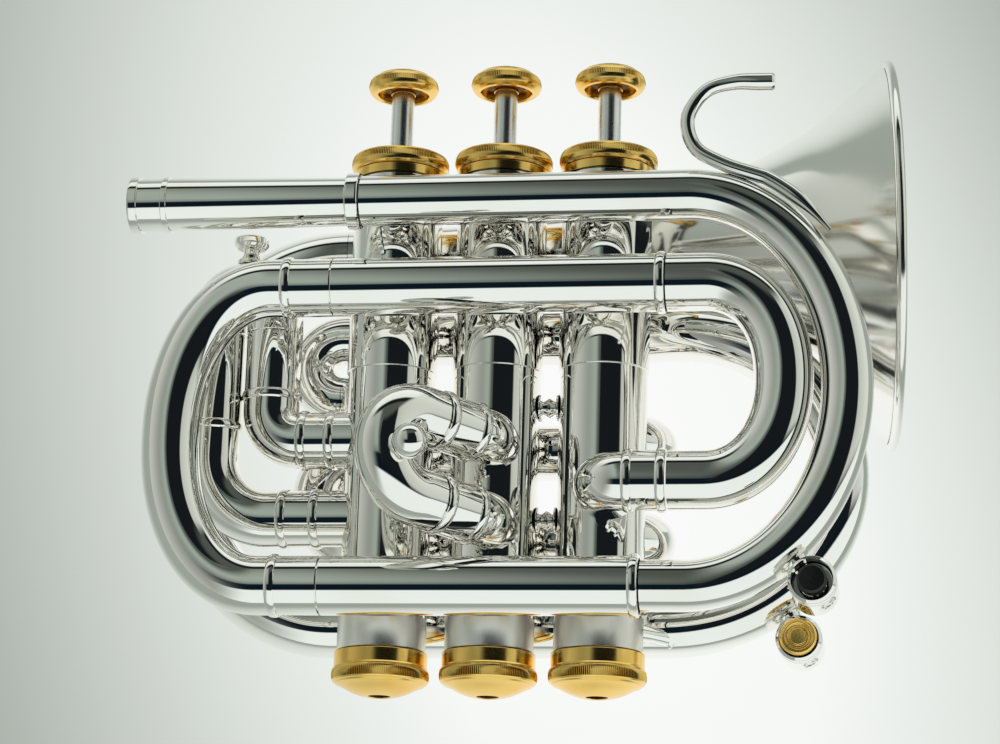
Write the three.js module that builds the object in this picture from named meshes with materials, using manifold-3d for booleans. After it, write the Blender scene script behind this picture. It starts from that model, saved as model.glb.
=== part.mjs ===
// Pocket trumpet, silver plated, with gold trim: a mini B flat trumpet as it comes apart on a bench.
// Horn frame: X runs from the mouthpiece end to the bell, Y runs along the valves with the buttons at +Y,
// and Z points to the leadpipe side. The outer group lays the horn on its bell side. Millimetres throughout.
import * as THREE from 'three';
import { mergeVertices } from 'three/addons/utils/BufferGeometryUtils.js';
import Module from 'manifold-3d';

const wasm = await Module();
wasm.setup();
const { Manifold, Mesh: SolidMesh } = wasm;

// Facets of round sections
const tubeSides = 10;
const boreSides = 6;
const roundSides = 10;
const bellSides = 20;
const sliver = 0.04;

// Shared clearances
const gap = 0.3;
const overrun = 2;
const collarLip = 0.5;
const collarWidth = 2.2;
const collarBevel = 0.35;

// Driving dimensions of the body
const valveSpacing = 25;
const valveNumbers = [1, 2, 3];
const middleValve = 2;
const frontZ = 20;
const tailZ = -18.6;
const thirdZ = -17.3;
const leadY = 46.9;
const upperY = 26.1;
const lowerY = -43.6;
const entryY = -19.8;

const casing = { radius: 10.2, bore: 9, band: 0.25, bandY: 13, endRadius: 9.5, top: 63.2, bottom: -62,
  topEndY: 58.4, bottomEndY: -55.2 };
// Cap and button heights are depths below the cap's or button's top, or rises above the bottom cap's foot
const topCap = { skirt: 10.6, bead: 11.15, crown: 6, hole: 3.4, rise: 1.5, depth: 6, beadLow: 4.5,
  beadHigh: 1.6, shoulder: 0.7, roof: 1, bevel: 0.5 };
const bottomCap = { skirt: 10.7, bead: 11.2, dome: 7, hole: 2.5, drop: 4.4, depth: 10.9, beadHigh: 6.8,
  beadLow: 3, domeRise: 0.8, floor: 1.1, bevel: 0.6 };
const button = { radius: 8.35, face: 6.7, dish: 6.1, hub: 3.1, socket: 1.95, top: 84.3, edge: 1, shoulder: 0.6,
  rimTop: 1.4, rimBottom: 3.1, depth: 3.9, dishTop: 2, hubDepth: 3.3, socketTop: 1.2 };
const felt = { radius: 5, thick: 0.9 };
const stem = { radius: 2.75, tenon: 1.6, disc: 7.9, discThick: 2, plug: 5.2, plugDepth: 2.2 };
const piston = { radius: 8.5, barrel: 8.1, barrelBore: 6.6, bottom: -33.5, shoulder: 8, top: 48.3, passage: 4.6,
  slotWidth: 3.4, slotBottom: 22.6, slotTop: 42.6 };
const guide = { disc: 6.2, reach: 8.2, key: 2.6, bottom: 23.2, thick: 1.8, hole: 2.4 };
const spring = { radius: 5.2, wire: 0.5, turns: 4, stepsPerTurn: 6, sides: 4 };
const passageDegrees = [[20, 75, 130], [35, 90, 150], [50, 110, 165]];
const passageLevelShares = [0.15, 0.5, 0.85];

// Tubing radii
const leadTube = { radius: 5.85, bore: 5.1 };
const mainTube = { radius: 6.7, bore: 5.5 };
const mainLeg = { radius: 5.85, bore: 5.2 };
const smallTube = { radius: 6.6, bore: 5.3 };
const smallLeg = { radius: 5.8, bore: 5 };

const receiver = { mouthX: -85.8, bead: 6.6, beadWidth: 2.2, neck: 6.15, neckWidth: 5.8, ring: 6.55,
  ringWidth: 1.3, root: 6.2, tip: 5.6, tipX: -32.8, ferrule: 6.6, endX: -29.8, mouthBore: 4.95, throatBore: 4.6,
  throatX: -55, bevel: 0.5 };
const leadBow = { startX: 46, reach: 36, endX: 36.2, steps: 10 };
const mainSleeve = { startX: -36.5, upperEndX: 40.7, lowerEndX: 35.9 };
const tuningBow = { springX: -49.5, reach: 22.5, squarenessRatio: 2.12, collarX: -47.4, steps: 11 };
const tuningLeg = { socket: 7, reach: 44 };
const entryBow = { springX: 50, reach: 17.9, squarenessRatio: 2.15, endX: 41.8, steps: 10 };
const entryElbow = { collarX: 35.3, turnX: 34.1, bend: 6.9, rootZ: 5, steps: 4 };
const sleevePost = { foot: 3.1, waist: 1.7, footThick: 0.9, upperX: 0, lowerX: 0 };

const firstSlide = { upperY: -5.2, lowerY: -23.9, innerX: -53.6, outerX: -67.3, innerBend: 6.9, outerBend: 14.4,
  seamY: 20.3, crownY: 25, legLow: 7, collars: [[-38.9, -45.4], [-43.1, -51.2]], sleeveLow: [5.2, -2],
  rootX: -28, steps: 4 };
const pullKnob = { neck: 1.9, foot: 3.2, footThick: 1, disc: 4.15, height: 7.4, discThick: 3.4, waist: 2.6 };
const secondSlide = { upperY: -7.1, lowerY: -26.5, splayDegrees: 40, climbDegrees: 9, rootX: 0.5, rootZ: 5,
  turnZ: 12, bend: 6.9, sleeve: 8.4, straight: 3.5, legLength: 8.6, steps: 4 };
const ballKnob = { radius: 3.4, neck: 1.5, lift: 2.4, ringDegrees: [-55, -20, 20, 55] };
const thirdSlide = { upperY: -4.3, lowerY: -27.1, rootX: 30.5, rootZ: -6, bulgeX: 36.6, turnX: 24,
  sleeveEndX: -4, crookX: -33.5, legLength: 26, steps: 4 };

const bell = { tail: [-40, 43.6, -17.9], mouth: [89.6, 46.9, -30], rim: 47, bead: 1.15, thick: 0.6,
  stationShares: [0.02, 0.055, 0.095, 0.14, 0.185, 0.24, 0.32, 0.43, 0.58, 0.76, 1],
  radiusShares: [0.94, 0.85, 0.755, 0.66, 0.585, 0.507, 0.415, 0.318, 0.243, 0.199, 0.165] };
const tail = { leftReach: 38.3, bottomY: -46.2, bottomX: 37.6, rightReach: 41.3, innerY: 24, innerRadius: 6,
  innerZ: -18.2, crestZ: -12.2, climbShares: [0.1, 0.6], descentShares: [0.7, 0.95], levelX: 16, loopX: -40,
  loopReach: 8, loopY: 9, wallThick: 0.6, leftSteps: 8, rightSteps: 9, loopSteps: 4 };
const tailElbow = { bend: 8.2, sweepDegrees: 62, reach: 9, steps: 4 };

const casingBrace = { levels: [4.2, -26.6], foot: 2.7, footThick: 0.6, waist: 1.3, lobe: 2.1 };
const leadBrace = { foot: 3.4, waist: 1.9, footThick: 0.9 };
const bellBrace = { y: -49, tailX: 43, waist: 1.8 };
const hook = { rod: 1.6, lift: 3.2, spread: 7.3, footStartDegrees: 42, footEndDegrees: 66, tipShare: 1.2,
  steps: 4, sides: 6, curl: [[53.6, 53.3], [47.6, 57.3], [45.9, 64.1], [49.9, 70.6], [56.4, 72.6]],
  tip: [62.3, 72.6] };
const keyFront = { place: [74.7, -43.6, 20], turnDegrees: -51.3 };
const keyBack = { place: [69.6, -49.6, -18], turnDegrees: -64.2 };
const waterKey = { radius: 5.35, length: 15, bore: 3, rimBevel: 0.7, plunger: 2.55, stroke: 2, proud: 2.4,
  saddle: 3.4, drain: 1.3, head: 4.3, headThick: 2.2, seatDepth: 9 };

// The pose at rest on a table, bell side down: two turns of the whole horn, in degrees
const restDegrees = { aboutX: 5.995, aboutY: -15.522 };

const finish = {
  silver: { color: 0xdfe0de, roughness: 0.09, metalness: 1 },
  gold: { color: 0xe0a63c, roughness: 0.18, metalness: 1 },
  steel: { color: 0xb9bcbf, roughness: 0.2, metalness: 1 },
  brass: { color: 0xc9a45c, roughness: 0.3, metalness: 1 },
  felt: { color: 0x3a3431, roughness: 0.95, metalness: 0 },
  rubber: { color: 0x16171a, roughness: 0.45, metalness: 0 },
};

const ellipseRatio = 2;
const degrees = THREE.MathUtils.degToRad;
const at = (x, y, z) => new THREE.Vector3(x, y, z);
const smooth = THREE.MathUtils.smoothstep;
const valveX = (number) => (number - middleValve) * valveSpacing;

// Solids

function toSolid(geometry) {
  const plain = geometry.clone();
  plain.deleteAttribute('normal');
  plain.deleteAttribute('uv');
  const merged = mergeVertices(plain, 1e-4);
  const solid = new Manifold(new SolidMesh({
    numProp: 3,
    vertProperties: new Float32Array(merged.attributes.position.array),
    triVerts: new Uint32Array(merged.index.array),
  }));
  return solid.volume() < 0 ? toSolid(turnedInsideOut(merged)) : solid;
}

function turnedInsideOut(geometry) {
  const flipped = geometry.clone();
  const order = Array.from(geometry.index.array);
  for (let i = 0; i < order.length; i += 3) {
    [order[i], order[i + 1]] = [order[i + 1], order[i]];
  }
  flipped.setIndex(order);
  return flipped;
}

function toGeometry(solid) {
  const { vertProperties, triVerts, numProp } = solid.simplify(sliver).getMesh();
  const geometry = new THREE.BufferGeometry();
  const points = [];
  for (let i = 0; i < vertProperties.length; i += numProp) {
    points.push(vertProperties[i], vertProperties[i + 1], vertProperties[i + 2]);
  }
  geometry.setAttribute('position', new THREE.Float32BufferAttribute(points, 3));
  geometry.setIndex(Array.from(triVerts));
  geometry.computeVertexNormals();
  return geometry;
}

const joined = (solids) => solids.reduce((sum, next) => sum.add(next));
const cutBy = (solid, cutters) => cutters.reduce((rest, cutter) => rest.subtract(cutter), solid);

function makePart(name, shape, look, parent) {
  const geometry = shape.isBufferGeometry ? shape : toGeometry(shape);
  const mesh = new THREE.Mesh(geometry, new THREE.MeshStandardMaterial(look));
  mesh.name = name;
  parent.add(mesh);
  return mesh;
}

// A profile of [radius, height] corners, closed on itself, turned about Y
function turned(corners, sides) {
  const outline = corners.map(([radius, height]) => new THREE.Vector2(radius, height));
  outline.push(outline[0].clone());
  return new THREE.LatheGeometry(outline, sides);
}

// The same turned solid, moved so that its axis starts at a point and runs along a direction
function turnedAlong(corners, sides, start, direction) {
  const geometry = turned(corners, sides);
  const spin = new THREE.Quaternion().setFromUnitVectors(at(0, 1, 0), direction.clone().normalize());
  geometry.applyQuaternion(spin);
  geometry.translate(start.x, start.y, start.z);
  return toSolid(geometry);
}

const rodCorners = (radius, length, start = 0) => [[0, start], [radius, start], [radius, length], [0, length]];

// Curves

// Part of an ellipse, or of a squarer oval, in the plane of two half-axis vectors
class Bend extends THREE.Curve {
  constructor(centre, across, along, from, to, squarenessRatio = ellipseRatio) {
    super();
    Object.assign(this, { centre, across, along, from, to, power: ellipseRatio / squarenessRatio });
  }

  getPoint(t) {
    const angle = degrees(THREE.MathUtils.lerp(this.from, this.to, t));
    const swell = (value) => Math.sign(value) * Math.abs(value) ** this.power;
    return this.centre.clone()
      .addScaledVector(this.across, swell(Math.cos(angle)))
      .addScaledVector(this.along, swell(Math.sin(angle)));
  }
}

// A flat curve lifted by a height that depends on how far along it lies
class Rising extends THREE.Curve {
  constructor(flat, heightAt) {
    super();
    Object.assign(this, { flat, heightAt });
  }

  getPoint(t) {
    return this.flat.getPointAt(t).setZ(this.heightAt(t));
  }
}

// Curves joined end to end, each with its own number of steps and its own size at its end, as a share of the
// tube's radius, and an even taper over the whole
class Run extends THREE.Curve {
  constructor(pieces, { startShare = 1, taper = 1 } = {}) {
    super();
    this.stations = [];
    for (const [curve, steps, endShare = 1] of pieces) {
      for (let i = this.stations.length ? 1 : 0; i <= steps; i += 1) {
        const share = i ? endShare : startShare;
        const place = i / steps;
        this.stations.push({ point: curve.getPointAt(place), tangent: curve.getTangentAt(place), share });
      }
    }
    this.steps = this.stations.length - 1;
    this.taper = taper;
  }

  getPointAt(u) {
    return this.stations[Math.round(u * this.steps)].point.clone();
  }

  getTangentAt(u) {
    return this.stations[Math.round(u * this.steps)].tangent.clone();
  }

  computeFrenetFrames(segments, closed) {
    const frames = super.computeFrenetFrames(segments, closed);
    this.stations.forEach(({ share }, i) => {
      const size = share * THREE.MathUtils.lerp(1, this.taper, i / segments);
      frames.normals[i].multiplyScalar(size);
      frames.binormals[i].multiplyScalar(size);
    });
    return frames;
  }
}

const line = (start, end, endShare = 1) => [new THREE.LineCurve3(start, end), 1, endShare];

// A straight stretch of tube, with a turned collar centred at each distance from its start
function straight(start, end, radius, rings) {
  const way = end.clone().sub(start).normalize();
  const half = collarWidth / 2;
  const ringShare = 1 + collarLip / radius;
  const pieces = [];
  let from = start;
  const goTo = (distance, share) => {
    const next = start.clone().addScaledVector(way, distance);
    pieces.push(line(from, next, share));
    from = next;
  };
  for (const ring of rings) {
    goTo(ring - half, 1);
    goTo(ring - half + collarBevel, ringShare);
    goTo(ring + half - collarBevel, ringShare);
    goTo(ring + half, 1);
  }
  pieces.push(line(from, end));
  return pieces;
}

// A tube or rod swept along a run
function along(run, radius, sides) {
  const corners = [];
  for (let i = 0; i < sides; i += 1) {
    const angle = (i / sides) * Math.PI * 2;
    corners.push(new THREE.Vector2(radius * Math.cos(angle), radius * Math.sin(angle)));
  }
  const shape = { extrudePath: run, steps: run.steps, bevelEnabled: false };
  return toSolid(new THREE.ExtrudeGeometry(new THREE.Shape(corners), shape));
}

// A straight round cutter that lines up with the facets of a swept tube
const reamer = (start, end, radius) => along(new Run([line(start, end)]), radius, tubeSides);

// A turned post with a foot at each end, from one point to another
function post(start, end, foot, footThick, waist, sides = 10) {
  const length = start.distanceTo(end);
  const corners = [[0, 0], [foot, 0], [foot, footThick / 2], [waist, footThick], [waist, length - footThick],
    [foot, length - footThick / 2], [foot, length], [0, length]];
  return turnedAlong(corners, sides, start, end.clone().sub(start));
}

// The space that each casing takes, with the clearance that soldered tubes keep
const casingRooms = valveNumbers.map((number) => turnedAlong(
  rodCorners(casing.radius + casing.band + gap, casing.top, casing.bottom), roundSides,
  at(valveX(number), 0, 0), at(0, 1, 0)));
const ports = [[], [], []];

// Tubes that end in a casing are cut by its wall, and their bore goes on through it
function intoCasing(number, outer, boreRun, boreRadius) {
  const bore = along(boreRun, boreRadius, boreSides);
  ports[number - 1].push(bore);
  return cutBy(outer, [bore, casingRooms[number - 1]]);
}

const horn = new THREE.Group();

// Leadpipe and its long bow, in one drawn tube
function addLeadpipe() {
  const bowCentre = at(leadBow.startX, (leadY + lowerY) / 2, frontZ);
  const halfHeight = at(0, (leadY - lowerY) / 2, 0);
  const start = at(receiver.endX + gap, leadY, frontZ);
  const end = at(leadBow.endX, lowerY, frontZ);
  const bow = new Bend(bowCentre, at(leadBow.reach, 0, 0), halfHeight, 90, -90);
  const pieces = [line(start, at(leadBow.startX, leadY, frontZ)), [bow, leadBow.steps],
    line(at(leadBow.startX, lowerY, frontZ), end)];
  const run = new Run(pieces);
  const bore = new Run([line(start.clone().setX(start.x - overrun), start), ...pieces,
    line(end, end.clone().setX(end.x - overrun))]);
  const tube = along(run, leadTube.radius, tubeSides);
  makePart('leadpipe', cutBy(tube, [along(bore, leadTube.bore, boreSides)]), finish.silver, horn);
  return along(run, leadTube.radius + gap, tubeSides);
}

function addReceiver() {
  const r = receiver;
  const beadEnd = r.mouthX + r.beadWidth;
  const neckEnd = beadEnd + r.neckWidth;
  const ringEnd = neckEnd + r.ringWidth;
  const corners = [[r.mouthBore, r.mouthX], [r.bead - r.bevel, r.mouthX], [r.bead, r.mouthX + r.bevel],
    [r.bead, beadEnd - r.bevel], [r.neck, beadEnd], [r.neck, neckEnd], [r.ring, neckEnd], [r.ring, ringEnd],
    [r.root, ringEnd], [r.tip, r.tipX], [r.ferrule, r.tipX], [r.ferrule, r.endX], [r.throatBore, r.endX],
    [r.throatBore, r.throatX]];
  const geometry = turned(corners, roundSides);
  const mesh = makePart('mouthpiece_receiver', toSolid(geometry), finish.silver, horn);
  mesh.position.set(0, leadY, frontZ);
  mesh.rotation.z = -Math.PI / 2;
}

// Outer sleeves of the main tuning slide, each with a post to the casings
function addMainSleeve(name, y, endX, postX) {
  const { radius } = mainTube;
  const bore = mainLeg.radius + gap;
  const start = mainSleeve.startX;
  const lip = collarLip;
  const corners = [[0, start], [radius, start], [radius, endX - collarWidth],
    [radius + lip, endX - collarWidth + collarBevel], [radius + lip, endX - collarBevel], [radius, endX],
    [0, endX]];
  const sleeve = turnedAlong(corners, tubeSides, at(0, y, frontZ), at(1, 0, 0));
  const casingSide = casing.radius + casing.band + gap;
  const foot = post(at(postX, y, casingSide), at(postX, y, frontZ - bore), sleevePost.foot,
    sleevePost.footThick, sleevePost.waist);
  const hollow = reamer(at(start - overrun, y, frontZ), at(endX + overrun, y, frontZ), bore);
  makePart(name, cutBy(joined([sleeve, foot]), [hollow]), finish.silver, horn);
}

// The bow of the main tuning slide, drawn to the left, and its two inner legs
function addTuningSlide() {
  const endX = mainSleeve.startX - gap;
  const centre = at(tuningBow.springX, (upperY + lowerY) / 2, frontZ);
  const halfHeight = at(0, (upperY - lowerY) / 2, 0);
  const bend = new Bend(centre, at(tuningBow.reach, 0, 0), halfHeight, 90, 270, tuningBow.squarenessRatio);
  const upperEnd = at(endX, upperY, frontZ);
  const lowerEnd = at(endX, lowerY, frontZ);
  const ringAt = endX - tuningBow.collarX;
  const { radius } = mainTube;
  const upperSpring = at(tuningBow.springX, upperY, frontZ);
  const lowerSpring = at(tuningBow.springX, lowerY, frontZ);
  const bow = along(new Run([...straight(upperEnd, upperSpring, radius, [ringAt]), [bend, tuningBow.steps],
    ...straight(lowerSpring, lowerEnd, radius, [tuningBow.collarX - tuningBow.springX])]), radius, tubeSides);
  const past = at(overrun, 0, 0);
  const bore = along(new Run([line(upperEnd.clone().add(past), upperSpring), [bend, tuningBow.steps],
    line(lowerSpring, lowerEnd.clone().add(past))]), mainLeg.bore, boreSides);
  const sockets = [];
  for (const [name, end] of [['tuning_leg_upper', upperEnd], ['tuning_leg_lower', lowerEnd]]) {
    const seat = end.clone().setX(endX - tuningLeg.socket);
    sockets.push(reamer(seat, end.clone().add(past), mainLeg.radius + gap));
    const legCorners = [[mainLeg.bore, gap - tuningLeg.socket], [mainLeg.radius, gap - tuningLeg.socket],
      [mainLeg.radius, tuningLeg.reach], [mainLeg.bore, tuningLeg.reach]];
    const leg = makePart(name, toSolid(turned(legCorners, tubeSides)), finish.silver, horn);
    leg.position.copy(end);
    leg.rotation.z = -Math.PI / 2;
  }
  makePart('tuning_slide_bow', cutBy(bow, [bore, ...sockets]), finish.silver, horn);
}

// The tight bow from the upper sleeve back to the third valve, and the elbow that enters the valve
function addEntry() {
  const startX = mainSleeve.upperEndX + gap;
  const centre = at(entryBow.springX, (upperY + entryY) / 2, frontZ);
  const halfHeight = at(0, (upperY - entryY) / 2, 0);
  const bend = new Bend(centre, at(entryBow.reach, 0, 0), halfHeight, 90, -90, entryBow.squarenessRatio);
  const end = at(entryBow.endX, entryY, frontZ);
  const pieces = [line(at(startX, upperY, frontZ), at(entryBow.springX, upperY, frontZ)),
    [bend, entryBow.steps], line(at(entryBow.springX, entryY, frontZ), end)];
  const bow = along(new Run(pieces), mainTube.radius, tubeSides);
  const bore = along(new Run([line(at(startX - overrun, upperY, frontZ), at(startX, upperY, frontZ)), ...pieces,
    line(end, end.clone().setX(end.x - overrun))]), mainTube.bore, boreSides);
  makePart('entry_bow', cutBy(bow, [bore]), finish.silver, horn);

  const mouth = at(entryBow.endX - gap, entryY, frontZ);
  const turnStart = at(entryElbow.turnX, entryY, frontZ);
  const turn = new Bend(at(entryElbow.turnX, entryY, frontZ - entryElbow.bend), at(-entryElbow.bend, 0, 0),
    at(0, 0, entryElbow.bend), 90, 0);
  const footX = entryElbow.turnX - entryElbow.bend;
  const inward = [[turn, entryElbow.steps],
    line(at(footX, entryY, frontZ - entryElbow.bend), at(footX, entryY, entryElbow.rootZ))];
  const rings = [collarWidth / 2 + collarBevel, mouth.x - entryElbow.collarX];
  const elbow = along(new Run([...straight(mouth, turnStart, mainTube.radius, rings), ...inward]),
    mainTube.radius, tubeSides);
  const boreRun = new Run([line(mouth.clone().setX(mouth.x + overrun), turnStart), ...inward]);
  makePart('entry_elbow', intoCasing(3, elbow, boreRun, mainTube.bore), finish.silver, horn);
}

// A sleeve that leaves a casing, opened out at its end for the leg of its crook. A route gives the pieces of
// its run, with or without the collars
function addSleeve(name, valve, route, legSocket) {
  const outer = along(new Run(route(true)), smallTube.radius, tubeSides);
  const bare = new Run(route(false));
  const end = bare.getPointAt(1);
  const way = bare.getTangentAt(1);
  const past = end.clone().addScaledVector(way, overrun);
  const tube = intoCasing(valve, outer, new Run([...route(false), line(end, past)]), smallLeg.bore);
  const socket = reamer(end.clone().addScaledVector(way, -legSocket), past, smallLeg.radius + gap);
  makePart(name, cutBy(tube, [socket]), finish.silver, horn);
}

// A crook: a U of full size tube with two thinner legs that slide in the sleeves
function crookSolid(upperEnd, lowerEnd, direction, straightLength, legLength, steps) {
  const away = direction.clone().normalize();
  const shift = (point, distance) => point.clone().addScaledVector(away, distance);
  const half = upperEnd.clone().sub(lowerEnd).multiplyScalar(0.5);
  const middle = shift(upperEnd.clone().sub(half), straightLength);
  const turn = new Bend(middle, away.clone().multiplyScalar(half.length()), half, 90, -90);
  const legShare = smallLeg.radius / smallTube.radius;
  const outer = new Run([
    line(shift(upperEnd, -legLength), shift(upperEnd, gap), legShare),
    line(shift(upperEnd, gap), shift(upperEnd, gap + collarBevel)),
    line(shift(upperEnd, gap + collarBevel), shift(upperEnd, straightLength)),
    [turn, steps],
    line(shift(lowerEnd, straightLength), shift(lowerEnd, gap + collarBevel)),
    line(shift(lowerEnd, gap + collarBevel), shift(lowerEnd, gap), legShare),
    line(shift(lowerEnd, gap), shift(lowerEnd, -legLength), legShare)], { startShare: legShare });
  const bore = new Run([line(shift(upperEnd, -legLength - overrun), shift(upperEnd, straightLength)),
    [turn, steps], line(shift(lowerEnd, straightLength), shift(lowerEnd, -legLength - overrun))]);
  return cutBy(along(outer, smallTube.radius, tubeSides), [along(bore, smallLeg.bore, boreSides)]);
}

function addFirstSlide() {
  const s = firstSlide;
  const levels = [s.upperY, s.lowerY];
  const risers = [s.innerX, s.outerX];
  const bends = [s.innerBend, s.outerBend];
  const names = ['first_slide_sleeve_inner', 'first_slide_sleeve_outer'];
  names.forEach((name, i) => {
    const root = at(s.rootX, levels[i], 0);
    const turnX = risers[i] + bends[i];
    const turnY = levels[i] + bends[i];
    const turn = new Bend(at(turnX, turnY, 0), at(-bends[i], 0, 0), at(0, -bends[i], 0), 90, 0);
    const ringsOut = s.collars[i].map((x) => s.rootX - x);
    const ringUp = s.sleeveLow[i] - turnY;
    addSleeve(name, 1, (ringed) => [
      ...straight(root, at(turnX, levels[i], 0), smallTube.radius, ringed ? ringsOut : []),
      [turn, s.steps],
      ...straight(at(risers[i], turnY, 0), at(risers[i], s.seamY, 0), smallTube.radius, ringed ? [ringUp] : []),
    ], s.seamY - s.legLow + gap);
  });
  const up = at(0, 1, 0);
  const crook = crookSolid(at(s.innerX, s.seamY, 0), at(s.outerX, s.seamY, 0), up, s.crownY - s.seamY,
    s.seamY - s.legLow, s.steps + 2);
  const k = pullKnob;
  const crown = s.crownY + (s.innerX - s.outerX) / 2 + smallLeg.radius;
  const corners = [[0, 0], [k.foot, 0], [k.foot, k.footThick], [k.neck, k.footThick * 2],
    [k.neck, k.height - k.discThick], [k.disc, k.height - k.discThick + k.footThick],
    [k.disc, k.height - k.footThick], [k.waist, k.height], [0, k.height]];
  const knob = turnedAlong(corners, tubeSides, at((s.innerX + s.outerX) / 2, crown, 0), up);
  makePart('first_slide_crook', joined([crook, knob]), finish.silver, horn);
}

function addSecondSlide() {
  const s = secondSlide;
  const splay = degrees(s.splayDegrees);
  const side = at(-Math.cos(degrees(s.climbDegrees)), Math.sin(degrees(s.climbDegrees)), 0);
  const front = at(0, 0, 1);
  const mix = (sideways, forwards) => side.clone().multiplyScalar(sideways).addScaledVector(front, forwards);
  const way = mix(Math.cos(splay), Math.sin(splay));
  const ends = [];
  for (const [name, y] of [['second_slide_sleeve_upper', s.upperY], ['second_slide_sleeve_lower', s.lowerY]]) {
    const turnStart = at(s.rootX, y, s.turnZ);
    const turn = new Bend(turnStart.clone().addScaledVector(side, s.bend), mix(-s.bend, 0), mix(0, s.bend), 0,
      90 - s.splayDegrees);
    const turnEnd = turn.getPoint(1);
    const end = turnEnd.clone().addScaledVector(way, s.sleeve);
    addSleeve(name, 2, (ringed) => [
      line(at(s.rootX, y, s.rootZ), turnStart),
      [turn, s.steps],
      ...straight(turnEnd, end, smallTube.radius, ringed ? [collarWidth / 2 + collarBevel] : []),
    ], s.legLength + gap);
    ends.push(end);
  }
  const crook = crookSolid(ends[0], ends[1], way, s.straight, s.legLength, s.steps * 2);
  const halfway = ends[0].clone().add(ends[1]).multiplyScalar(0.5);
  const crest = halfway.addScaledVector(way, s.straight + (s.upperY - s.lowerY) / 2);
  const outward = mix(-Math.sin(splay), Math.cos(splay));
  const b = ballKnob;
  const ballCentre = smallTube.radius + b.lift + b.radius / 2;
  const ballCorners = [[0, ballCentre - b.radius]];
  for (const turn of b.ringDegrees) {
    const angle = degrees(turn);
    ballCorners.push([b.radius * Math.cos(angle), ballCentre + b.radius * Math.sin(angle)]);
  }
  ballCorners.push([0, ballCentre + b.radius]);
  const neck = turnedAlong(rodCorners(b.neck, ballCentre, smallLeg.radius), boreSides, crest, outward);
  const ball = turnedAlong(ballCorners, tubeSides, crest, outward);
  makePart('second_slide_crook', joined([crook, neck, ball]), finish.silver, horn);
}

function addThirdSlide() {
  const s = thirdSlide;
  const ends = [];
  for (const [name, y] of [['third_slide_sleeve_upper', s.upperY], ['third_slide_sleeve_lower', s.lowerY]]) {
    const turn = new THREE.CubicBezierCurve3(at(s.rootX, y, s.rootZ), at(s.bulgeX, y, (s.rootZ + thirdZ) / 2),
      at(s.bulgeX, y, thirdZ), at(s.turnX, y, thirdZ));
    const start = at(s.turnX, y, thirdZ);
    const end = at(s.sleeveEndX, y, thirdZ);
    const ring = s.turnX - s.sleeveEndX - collarWidth / 2 - collarBevel;
    addSleeve(name, 3, (ringed) => [[turn, s.steps],
      ...straight(start, end, smallTube.radius, ringed ? [ring] : [])], s.legLength + gap);
    ends.push(end);
  }
  const crook = crookSolid(ends[0], ends[1], at(-1, 0, 0), s.sleeveEndX - s.crookX, s.legLength, s.steps + 2);
  makePart('third_slide_crook', crook, finish.silver, horn);
}

// The bell: a drawn flare with a rolled rim, straight from its mouth to the first bow of its tail
function addBell() {
  const tailEnd = at(...bell.tail);
  const mouth = at(...bell.mouth);
  const length = mouth.distanceTo(tailEnd);
  const corners = [[bell.rim, -bell.bead], [bell.rim, bell.bead]];
  bell.stationShares.forEach((share, i) => {
    corners.push([bell.rim * bell.radiusShares[i], length * share]);
  });
  const inside = corners.slice(2).reverse().map(([radius, station]) => [radius - bell.thick, station]);
  corners.push(...inside, [bell.rim - bell.bead, -bell.bead]);
  const towardsTail = tailEnd.clone().sub(mouth);
  makePart('bell', turnedAlong(corners, bellSides, mouth, towardsTail), finish.silver, horn);
}

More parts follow.
